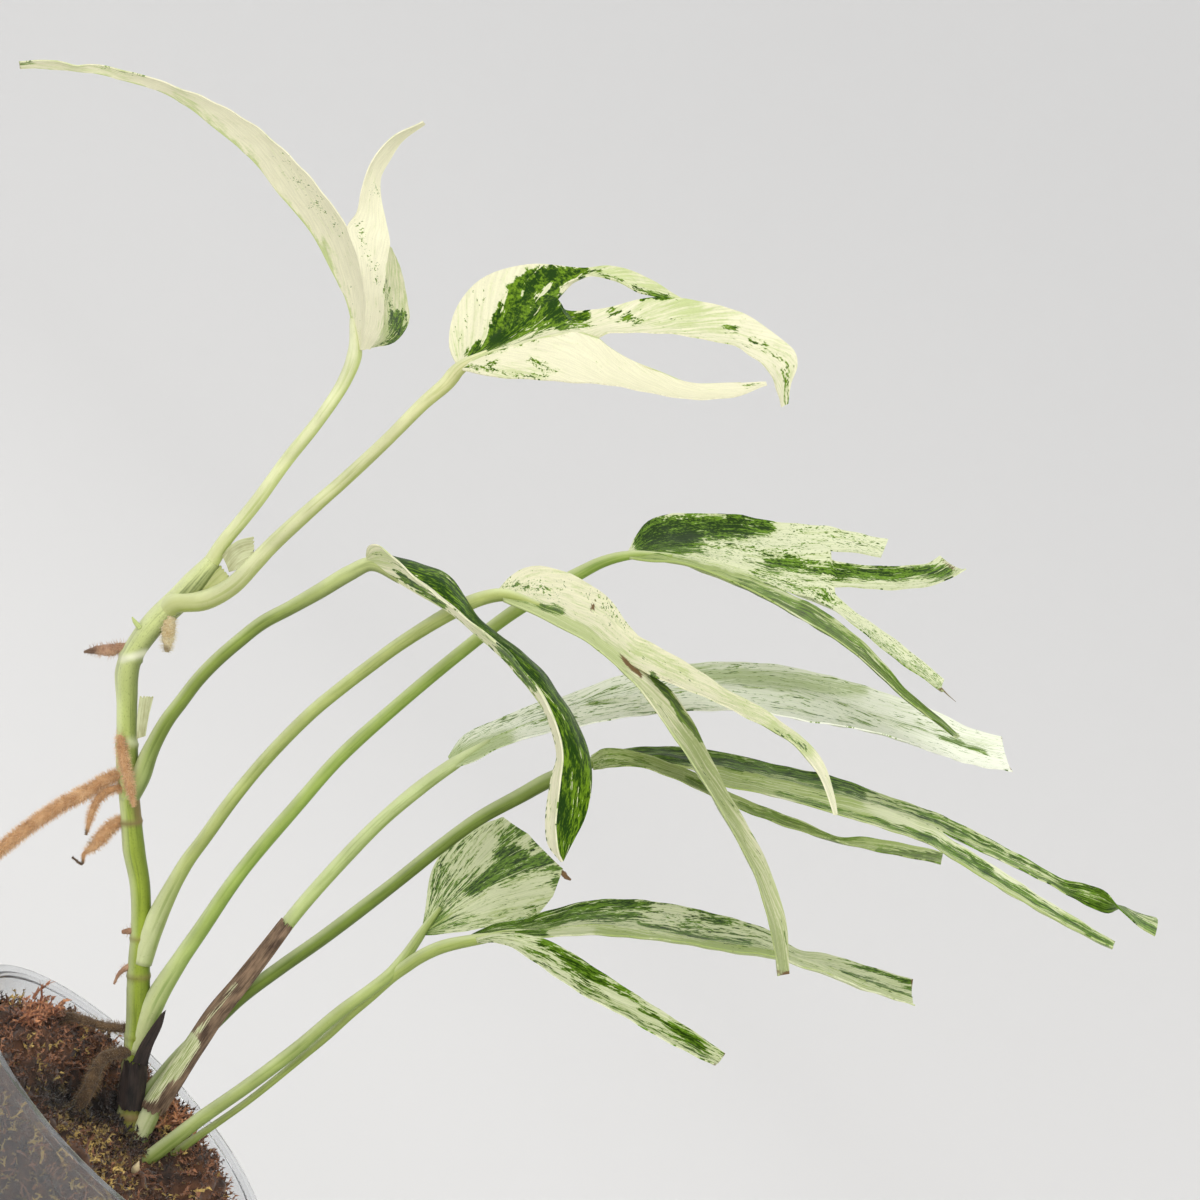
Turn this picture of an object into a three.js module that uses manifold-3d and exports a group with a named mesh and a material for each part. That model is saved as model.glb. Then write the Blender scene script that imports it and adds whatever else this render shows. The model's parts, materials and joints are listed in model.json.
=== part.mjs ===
import * as THREE from "three";
import Module from "manifold-3d";

// A potted variegated Amydrium zippelianum, in millimetres, with +Z up.
// The origin is the centre of the pot's flat base. The petioles rise nearly straight up and the
// leaf blades spread to both sides.

const wasm = await Module();
wasm.setup();

// Pot
const POT_HEIGHT = 105;
const POT_RIM_RADIUS = 60;
const POT_BASE_RADIUS = 45;
const POT_WALL = 1.2;
const POT_FLOOR = 2;
const POT_LIP_HEIGHT = 2.6;
const POT_LIP_REACH = 2.4;
const POT_FOOT_BEVEL = 1.5;
const POT_SIDES = 44;

// Moss
const MOSS_RINGS = 7;
const MOSS_LEVEL = -6;
const MOSS_LUMP = 1.1;

// Plant
const GAP = 0.3;
const BLADE_THICKNESS = 0.7;
const SHEATH_THICKNESS = 0.6;
const SHEATH_LOOSENESS = 0.35;
const PETIOLE_SIDES = 7;
const STEM_SIDES = 10;
const ROOT_SIDES = 6;
const PETIOLE_STEPS = 15;

// The plant is drawn as it is seen from one side. A drawn point holds the pixel across, the pixel
// down, and how many millimetres it lies in front of the pot's axis.
const VIEW_SIZE = 1200;
const VIEW_FOCAL_LENGTH = 3317;
const VIEW_DISTANCE = 1004.2;
const VIEW_RIM_CENTRE = [123.4, 1111.1];
const VIEW_ROLL = THREE.MathUtils.degToRad(45.93);
const VIEW_ELEVATION = THREE.MathUtils.degToRad(6.52);

const level = new THREE.Vector3(1, 0, 0);
const towardViewer = new THREE.Vector3(0, -Math.cos(VIEW_ELEVATION), Math.sin(VIEW_ELEVATION));
const upright = new THREE.Vector3(0, Math.sin(VIEW_ELEVATION), Math.cos(VIEW_ELEVATION));
const viewRight = level.clone().applyAxisAngle(towardViewer, VIEW_ROLL);
const viewUp = upright.clone().applyAxisAngle(towardViewer, VIEW_ROLL);

// The line of sight through a pixel, one unit deep.
function sightLine(x, y) {
  const middle = VIEW_SIZE / 2;
  return viewRight.clone().multiplyScalar((x - middle) / VIEW_FOCAL_LENGTH)
    .addScaledVector(viewUp, (middle - y) / VIEW_FOCAL_LENGTH)
    .sub(towardViewer);
}

const eye = new THREE.Vector3(0, 0, POT_HEIGHT)
  .addScaledVector(sightLine(...VIEW_RIM_CENTRE), -VIEW_DISTANCE);

function place([x, y, near]) {
  const sight = sightLine(x, y);
  return eye.clone().addScaledVector(sight, (-near - eye.y) / sight.y);
}

// Curves

const CURVE_DETAIL = 12;

function even(line, count) {
  const reach = [0];
  for (let i = 1; i < line.length; i++) {
    reach.push(reach[i - 1] + line[i].distanceTo(line[i - 1]));
  }
  const points = [];
  let k = 1;
  for (let i = 0; i <= count; i++) {
    const wanted = (reach.at(-1) * i) / count;
    while (k < line.length - 1 && reach[k] < wanted) {
      k++;
    }
    const part = (wanted - reach[k - 1]) / (reach[k] - reach[k - 1]);
    points.push(line[k - 1].clone().lerp(line[k], THREE.MathUtils.clamp(part, 0, 1)));
  }
  return points;
}

function smooth(drawn, first = 0) {
  const curve = new THREE.CatmullRomCurve3(drawn.map(place));
  const spans = drawn.length - 1;
  const line = [];
  for (let i = first * CURVE_DETAIL; i <= spans * CURVE_DETAIL; i++) {
    line.push(curve.getPoint(i / (spans * CURVE_DETAIL)));
  }
  return line;
}

// A rail runs up the undivided part of a blade and then along one side of a lobe.
function rail([trunk, lobe], steps) {
  const points = even(smooth(trunk), steps.trunk);
  if (lobe) {
    const start = trunk.slice(-2);
    points.push(...even(smooth([...start, ...lobe], 1), steps.lobe).slice(1));
  }
  return points;
}

// Surfaces

class Surface {
  constructor() {
    this.points = [];
    this.triangles = [];
    this.known = new Map();
  }

  point(p) {
    const key = [p.x, p.y, p.z].map((v) => Math.round(v * 1000)).join(" ");
    if (!this.known.has(key)) {
      this.known.set(key, this.points.length);
      this.points.push(p);
    }
    return this.known.get(key);
  }

  triangle(a, b, c) {
    if (a !== b && b !== c && c !== a) {
      this.triangles.push([a, b, c]);
    }
  }

  quad(a, b, c, d) {
    const [pa, pb, pc, pd] = [a, b, c, d].map((i) => this.points[i]);
    if (pa.distanceTo(pc) <= pb.distanceTo(pd)) {
      this.triangle(a, b, c);
      this.triangle(a, c, d);
    } else {
      this.triangle(a, b, d);
      this.triangle(b, c, d);
    }
  }
}

const BLADE_ROWS = 2;

// Lays a strip of blade between two rails. The arch is its rise over its width.
function addStrip(surface, left, right, arch, rows = BLADE_ROWS) {
  const grid = left.map((start, i) => {
    const end = right[i];
    const before = left[Math.max(i - 1, 0)].clone().add(right[Math.max(i - 1, 0)]);
    const after = left[Math.min(i + 1, left.length - 1)].clone();
    after.add(right[Math.min(i + 1, left.length - 1)]);
    const across = end.clone().sub(start);
    const lift = after.sub(before).cross(across).normalize().multiplyScalar(arch * across.length());
    const row = [];
    for (let j = 0; j <= rows; j++) {
      const v = j / rows;
      const p = start.clone().addScaledVector(across, v).addScaledVector(lift, 4 * v * (1 - v));
      row.push(surface.point(p));
    }
    return row;
  });
  for (let i = 1; i < grid.length; i++) {
    for (let j = 1; j <= rows; j++) {
      surface.quad(grid[i - 1][j - 1], grid[i][j - 1], grid[i][j], grid[i - 1][j]);
    }
  }
}

// Gives a surface its thickness, half to each side, and walls round its edge.
function thicken(surface, thickness) {
  const { points, triangles } = surface;
  const normals = points.map(() => new THREE.Vector3());
  const edges = new Map();
  for (const [a, b, c] of triangles) {
    const ab = points[b].clone().sub(points[a]);
    const face = ab.cross(points[c].clone().sub(points[a]));
    for (const i of [a, b, c]) {
      normals[i].add(face);
    }
    for (const [i, j] of [[a, b], [b, c], [c, a]]) {
      edges.set(`${i} ${j}`, [i, j]);
    }
  }
  const offset = (sign) => points.map((p, i) => {
    return p.clone().addScaledVector(normals[i].clone().normalize(), (sign * thickness) / 2);
  });
  const count = points.length;
  const faces = [];
  for (const [a, b, c] of triangles) {
    faces.push([a, b, c]);
    faces.push([a + count, c + count, b + count]);
  }
  for (const [a, b] of edges.values()) {
    if (!edges.has(`${b} ${a}`)) {
      faces.push([b, a, a + count]);
      faces.push([b, a + count, b + count]);
    }
  }
  return toSolid([...offset(1), ...offset(-1)], faces);
}

// Solids

function toSolid(points, faces) {
  return new wasm.Manifold(new wasm.Mesh({
    numProp: 3,
    vertProperties: new Float32Array(points.flatMap((p) => p.toArray())),
    triVerts: new Uint32Array(faces.flat()),
  }));
}

function largest(solid) {
  return solid.decompose().sort((a, b) => b.volume() - a.volume())[0];
}

function toGeometry(solid) {
  const mesh = solid.getMesh();
  const geometry = new THREE.BufferGeometry();
  geometry.setAttribute("position", new THREE.BufferAttribute(mesh.vertProperties, 3));
  geometry.setIndex(new THREE.BufferAttribute(mesh.triVerts, 1));
  geometry.computeVertexNormals();
  return geometry;
}

function blend(values, part) {
  const at = part * (values.length - 1);
  const i = Math.min(Math.floor(at), values.length - 2);
  return THREE.MathUtils.lerp(values[i], values[i + 1], at - i);
}

// A round limb: a stem, a petiole or a root. Radii are spread evenly along it.
function limb({ drawn, radii, steps, sides }, grown = 0) {
  const path = even(smooth(drawn), steps);
  const points = [];
  const faces = [];
  let side = new THREE.Vector3();
  path.forEach((centre, i) => {
    const ahead = path[Math.min(i + 1, steps)].clone().sub(path[Math.max(i - 1, 0)]).normalize();
    if (i === 0) {
      side = ahead.clone().cross(towardViewer).normalize();
    }
    side.addScaledVector(ahead, -side.dot(ahead)).normalize();
    const other = ahead.clone().cross(side);
    const radius = blend(radii, i / steps) + grown;
    for (let j = 0; j < sides; j++) {
      const angle = (2 * Math.PI * j) / sides;
      const p = centre.clone().addScaledVector(side, radius * Math.cos(angle));
      points.push(p.addScaledVector(other, radius * Math.sin(angle)));
    }
  });
  for (let i = 0; i < steps; i++) {
    for (let j = 0; j < sides; j++) {
      const a = i * sides + j;
      const b = i * sides + ((j + 1) % sides);
      faces.push([a, b, b + sides], [a, b + sides, a + sides]);
    }
  }
  const last = steps * sides;
  for (let j = 1; j < sides - 1; j++) {
    faces.push([0, j + 1, j], [last, last + j, last + j + 1]);
  }
  return toSolid(points, faces);
}

// Stem, from deep in the moss to the sheath at its top.
const STEM = {
  drawn: [
    [72, 1216, -10], [104, 1186, -8], [126, 1150, -6], [128, 1118, -6], [132, 1080, -6],
    [136, 1040, -5], [138, 1000, -4], [139, 960, -3], [141, 930, -3], [140, 885, -2], [134, 850, -2],
    [131, 815, -1], [128, 780, -1], [127, 742, 0], [127, 700, 0], [127, 672, 0], [132, 655, 0],
    [144, 636, 0], [158, 619, 0], [178, 600, 0], [198, 578, 1], [213, 561, 1],
  ],
  radii: [
    2.6, 3.2, 3.5, 3.6, 3.5, 3.5, 3.5, 3.6, 3.4, 3.6, 3.3, 3.1, 3, 3.1, 3.4, 3.1, 3.1, 3.4,
    3.1, 3.1, 3.6, 3.4, 3.7, 3.8, 3.6, 2.6,
  ],
  steps: 40,
  sides: STEM_SIDES,
};

// Leaves. Every leaf has a petiole, and strips of blade between rails that are drawn from the
// petiole outwards. A lobe's rails start with a shared trunk rail, up to the cut beside the lobe.

function petiole(drawn, radii) {
  return { drawn, radii, steps: PETIOLE_STEPS, sides: PETIOLE_SIDES };
}

const A_FAR = [[360, 349, -2], [368, 322, -14], [366, 290, -20], [352, 258, -22], [338, 236, -22]];
const A_FAR_TAIL = [
  [300, 190, -16], [252, 140, -10], [205, 104, -4], [150, 83, 4], [96, 71, 11], [30, 66, 18],
];
const A_RIB = [[356, 351, 0], [352, 320, 0], [345, 295, 0], [333, 272, 0], [322, 250, 1]];
const A_RIB_TAIL = [
  [310, 230, 2], [292, 208, 3], [277, 191, 4], [260, 168, 6], [240, 148, 8], [215, 128, 10],
  [190, 108, 12], [160, 91, 14], [130, 82, 16], [100, 74, 18], [70, 70, 20], [20, 68, 22],
];
const A_SPLIT = [[362, 350, 2], [366, 320, 8], [364, 285, 12], [357, 255, 14], [347, 228, 14]];
const A_TAIL_TOP = [
  [330, 203, 14], [305, 172, 14], [280, 147, 14], [255, 126, 14], [210, 100, 16], [180, 88, 17],
  [150, 77, 18], [120, 70, 19], [90, 64, 20], [75, 66, 22], [55, 60, 23], [19, 62, 24],
];
const A_HORN_LEFT = [
  [357, 212, 13], [361, 190, 10], [368, 167, 6], [378, 151, 2], [395, 136, -3], [423, 121, -9],
];
const A_FOLD = [[370, 349, 3], [382, 332, 10], [384, 300, 14], [386, 270, 15], [390, 245, 14]];
const A_HORN_RIGHT = [
  [386, 222, 7], [381, 195, 2], [381, 177, -2], [390, 160, -6], [402, 142, -10], [425, 124, -13],
];
const A_BACK = [
  [372, 348, -2], [395, 341, -7], [408, 322, -10], [406, 295, -7], [400, 268, 0], [392, 248, 10],
];

const B_RIM = [
  [457, 366, 2], [449, 345, -3], [455, 311, -9], [478, 281, -14], [512, 267, -17], [545, 264, -19],
  [570, 267, -20],
];
const B_BAND_TOP = [
  [590, 268, -20], [610, 266, -20], [630, 270, -20], [650, 279, -20], [684, 300, -20],
];
const B_SPLIT = [[459, 366, 3], [485, 347, 1], [512, 328, -2], [538, 311, -6], [558, 299, -9]];
const B_BAND_LOW = [
  [562, 287, -12], [575, 279, -14], [592, 276, -15], [612, 280, -16], [640, 292, -16], [678, 303, -17],
];
const B_MIDDLE_TOP = [
  [560, 307, -8], [571, 311, -7], [592, 310, -6], [612, 307, -6], [640, 299, -8], [685, 299, -9],
  [720, 306, -9], [745, 314, -9], [770, 331, -8], [794, 351, -7], [797, 366, -6], [791, 384, -4],
  [788, 404, -2],
];
const B_RIB = [
  [461, 367, 4], [490, 352, 6], [520, 344, 6], [555, 335, 6], [580, 333, 5], [597, 338, 5],
];
const B_MIDDLE_LOW = [
  [608, 333, 6], [640, 332, 7], [700, 338, 8], [735, 346, 8], [760, 362, 6], [772, 376, 4],
  [778, 391, 2], [782, 407, 0],
];
const B_LAST_TOP = [
  [608, 347, 6], [630, 360, 8], [660, 372, 10], [690, 383, 11], [730, 383, 11], [766, 382, 9],
];
const B_LOW = [[463, 371, 5], [500, 377, 13], [550, 380, 18], [597, 384, 20]];
const B_LAST_LOW = [[640, 390, 21], [680, 398, 20], [720, 399, 17], [745, 393, 14], [767, 385, 11]];

const C_NEAR = [
  [366, 556, 16], [368, 547, 21], [379, 546, 25], [394, 558, 28], [410, 573, 30], [432, 591, 33],
  [455, 610, 36], [471, 623, 38], [487, 635, 40], [503, 648, 42], [521, 668, 44], [541, 693, 47],
  [551, 714, 50], [559, 737, 53], [563, 757, 55], [561, 777, 57], [558, 802, 59], [556, 830, 60],
  [557, 850, 60], [562, 862, 58],
];
const C_RIB = [
  [367, 562, 13], [376, 567, 14], [388, 575, 16], [412, 590, 19], [440, 606, 22], [455, 616, 24],
  [480, 638, 28], [500, 655, 31], [515, 672, 33], [530, 690, 36], [545, 712, 39], [553, 735, 42],
  [557, 757, 45], [552, 776, 48], [548, 798, 50], [546, 822, 52], [548, 845, 54], [560, 862, 56],
];
const C_FAR = [
  [368, 558, 9], [378, 553, 6], [393, 556, 5], [416, 562, 5], [440, 571, 7], [453, 580, 9],
  [463, 596, 12], [471, 608, 14], [483, 622, 16], [497, 633, 17], [513, 645, 18], [530, 658, 19],
  [545, 674, 21], [560, 695, 23], [573, 715, 25], [584, 738, 28], [590, 758, 31], [592, 776, 35],
  [590, 798, 40], [584, 820, 45], [574, 840, 50], [563, 861, 55],
];

const D_TOP = [
  [498, 590, 5], [510, 577, -2], [522, 569, -6], [540, 566, -9], [565, 572, -10], [592, 586, -9],
  [612, 602, -6], [625, 622, -3], [638, 636, 0],
];
const D_UPPER_TOP = [
  [655, 645, 1], [700, 671, 4], [730, 692, 8], [760, 707, 13], [790, 728, 20], [811, 746, 27],
  [826, 770, 35], [834, 794, 43], [837, 815, 49],
];
const D_SPLIT = [
  [502, 595, 9], [530, 600, 12], [560, 612, 14], [590, 630, 15], [612, 648, 15], [625, 659, 15],
];
const D_UPPER_LOW = [
  [645, 672, 17], [668, 682, 19], [715, 701, 23], [745, 716, 28], [775, 731, 34], [799, 749, 40],
  [818, 773, 45], [829, 797, 49], [834, 815, 51],
];
const D_LOWER_RIGHT = [
  [640, 667, 14], [655, 677, 14], [670, 690, 14], [685, 709, 15], [701, 738, 17], [716, 770, 20],
  [731, 798, 23], [746, 824, 26], [761, 851, 30], [772, 876, 34], [780, 902, 37], [787, 930, 40],
  [789, 974, 44],
];
const D_LOW = [
  [504, 601, 13], [535, 614, 19], [560, 627, 22], [585, 640, 24], [600, 651, 25], [615, 664, 26],
];
const D_LOWER_LEFT = [
  [640, 689, 29], [664, 722, 33], [685, 752, 36], [706, 785, 39], [724, 815, 42], [739, 842, 45],
  [754, 872, 48], [763, 899, 50], [770, 928, 52], [779, 976, 55],
];

const E_TOP = [
  [628, 551, -17], [637, 534, -26], [648, 521, -33], [671, 514, -42], [705, 514, -50], [738, 515, -57],
  [768, 521, -62], [800, 524, -66], [825, 526, -68],
];
const E_FIRST_TOP = [[855, 533, -71], [888, 540, -74]];
const E_CUT_1 = [
  [630, 552, -17], [660, 545, -26], [700, 543, -36], [740, 545, -45], [790, 549, -52], [830, 551, -57],
];
const E_FIRST_LOW = [[850, 552, -58], [881, 557, -61]];
const E_SECOND_TOP = [
  [831, 559, -55], [842, 563, -54], [881, 566, -54], [906, 566, -54], [926, 564, -55], [940, 556, -58],
];
const E_CUT_2 = [
  [631, 553, -17], [665, 551, -21], [705, 556, -28], [745, 566, -34], [790, 578, -39], [833, 587, -43],
];
const E_SECOND_LOW = [
  [855, 587, -42], [893, 589, -40], [926, 586, -39], [950, 578, -40], [966, 569, -43],
];
const E_THIRD_TOP = [
  [836, 596, -40], [855, 612, -38], [881, 630, -35], [906, 648, -32], [932, 669, -29], [944, 680, -27],
];
const E_CUT_3 = [
  [631, 554, -16], [660, 554, -17], [690, 560, -20], [715, 567, -23], [742, 575, -25], [766, 583, -27],
];
const E_THIRD_LOW = [
  [789, 591, -28], [812, 598, -27], [830, 607, -26], [855, 625, -23], [881, 647, -19], [906, 666, -16],
  [943, 692, -12],
];
const E_LAST_TOP = [
  [791, 595, -25], [817, 607, -23], [842, 625, -20], [868, 646, -17], [886, 666, -15], [906, 689, -12],
  [932, 712, -9], [960, 736, -6],
];
const E_LOW = [
  [630, 558, -14], [651, 561, -10], [676, 562, -7], [702, 569, -5], [727, 579, -3], [753, 591, -2],
];
const E_LAST_LOW = [
  [779, 605, -1], [804, 620, 0], [830, 635, 1], [855, 653, 2], [881, 676, 2], [906, 699, 2],
  [932, 719, 1], [956, 738, -1],
];

const F_TOP = [
  [448, 757, -16], [465, 735, -24], [496, 720, -31], [530, 706, -36], [568, 695, -40], [608, 680, -44],
  [650, 668, -47], [690, 664, -49], [730, 662, -50], [781, 666, -51], [837, 678, -52], [896, 697, -53],
  [936, 711, -52], [971, 729, -49], [1002, 737, -45],
];
const F_RIB = [
  [452, 763, -13], [475, 748, -14], [505, 733, -16], [545, 718, -18], [590, 704, -20], [640, 694, -22],
  [690, 688, -24], [740, 687, -25], [790, 690, -27], [830, 700, -28], [870, 714, -30], [920, 731, -32],
  [965, 747, -36], [1006, 757, -37],
];
const F_LOW = [
  [454, 768, -12], [474, 761, -8], [505, 745, -4], [550, 732, -1], [584, 725, 1], [639, 715, 2],
  [698, 710, 2], [758, 711, 1], [797, 719, 0], [853, 728, -3], [896, 738, -6], [936, 753, -16],
  [975, 765, -23], [1013, 771, -29],
];

const G_TOP = [
  [596, 753, -8], [618, 750, -14], [640, 747, -19], [686, 748, -25], [735, 755, -29], [781, 766, -32],
  [837, 778, -34], [876, 792, -35], [922, 808, -36],
];
const G_UPPER_TOP = [
  [955, 822, -36], [995, 842, -35], [1034, 863, -34], [1062, 879, -31], [1086, 884, -28],
  [1106, 893, -24], [1119, 909, -20], [1136, 924, -18], [1155, 936, -17],
];
const G_SPLIT = [
  [598, 758, -7], [640, 755, -9], [690, 760, -11], [745, 772, -13], [800, 785, -14], [850, 798, -15],
  [893, 811, -16], [932, 826, -17],
];
const G_UPPER_LOW = [
  [975, 848, -18], [1015, 867, -19], [1054, 887, -21], [1086, 905, -24], [1106, 913, -28],
  [1119, 909, -32], [1135, 913, -34], [1156, 919, -35],
];
const G_LOWER_TOP = [
  [955, 842, -15], [995, 867, -13], [1034, 893, -10], [1074, 917, -7], [1115, 942, -3],
];
const G_LOW = [
  [599, 764, -5], [640, 763, -2], [690, 768, 1], [722, 785, 3], [758, 792, 4], [797, 802, 5],
  [837, 814, 5], [878, 826, 5], [924, 841, 5],
];
const G_LOWER_LOW = [[955, 860, 6], [995, 885, 7], [1034, 907, 9], [1074, 929, 11], [1113, 948, 13]];
const G_SIDE_TOP = [
  [592, 755, -3], [606, 748, 3], [639, 753, 6], [679, 766, 8], [706, 778, 9], [738, 797, 10],
  [777, 812, 11], [813, 826, 12], [837, 837, 13], [862, 838, 13], [896, 842, 13], [943, 853, 13],
];
const G_SIDE_LOW = [
  [594, 770, -1], [612, 767, 9], [639, 767, 15], [679, 780, 18], [718, 800, 20], [758, 816, 22],
  [805, 832, 23], [844, 843, 25], [876, 850, 27], [908, 857, 29], [941, 863, 31],
];

const H_TOP = [
  [470, 936, -2], [490, 926, -8], [514, 921, -12], [555, 909, -17], [586, 902, -20], [620, 899, -22],
  [655, 902, -24], [693, 909, -25], [727, 917, -26], [765, 929, -26], [796, 949, -24], [830, 955, -24],
  [865, 966, -20], [913, 980, -14],
];
const H_RIB = [
  [474, 938, 0], [505, 931, 0], [545, 930, 0], [590, 925, 0], [640, 930, 0], [700, 940, 0],
  [760, 949, 0], [800, 957, 0], [850, 975, 0], [912, 998, 1],
];
const H_LOW = [
  [474, 942, 2], [505, 940, 5], [545, 937, 8], [579, 935, 11], [624, 936, 13], [675, 941, 14],
  [727, 950, 15], [775, 957, 16], [806, 967, 16], [830, 974, 16], [861, 988, 14], [889, 997, 12],
  [915, 1006, 9],
];
const H_SIDE_TOP = [
  [474, 938, 2], [507, 933, 12], [540, 938, 15], [572, 953, 17], [607, 976, 20], [641, 998, 23],
  [675, 1020, 27], [700, 1036, 30], [725, 1054, 34],
];
const H_SIDE_LOW = [
  [478, 943, 3], [505, 944, 17], [531, 960, 24], [555, 976, 29], [589, 998, 34], [624, 1016, 38],
  [658, 1036, 42], [693, 1055, 46], [714, 1065, 50],
];

const I_FAN = [
  [
    [422, 930, -12], [426, 904, -17], [430, 876, -22], [438, 858, -25], [452, 841, -28],
    [474, 826, -31],
  ],
  [[423, 930, -12], [444, 893, -19], [468, 858, -25], [486, 836, -29], [503, 817, -33]],
  [[424, 931, -12], [450, 900, -19], [482, 868, -26], [506, 849, -30], [528, 834, -34]],
  [[425, 932, -12], [458, 910, -18], [498, 888, -25], [532, 876, -30], [563, 869, -34]],
  [[425, 933, -11], [460, 920, -15], [500, 908, -20], [530, 901, -24], [553, 896, -27]],
  [[426, 935, -10], [458, 932, -11], [497, 925, -14], [520, 919, -17], [537, 914, -20]],
  [[425, 934, -14], [446, 902, -31], [470, 873, -44], [496, 859, -52], [520, 856, -56]],
];

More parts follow.
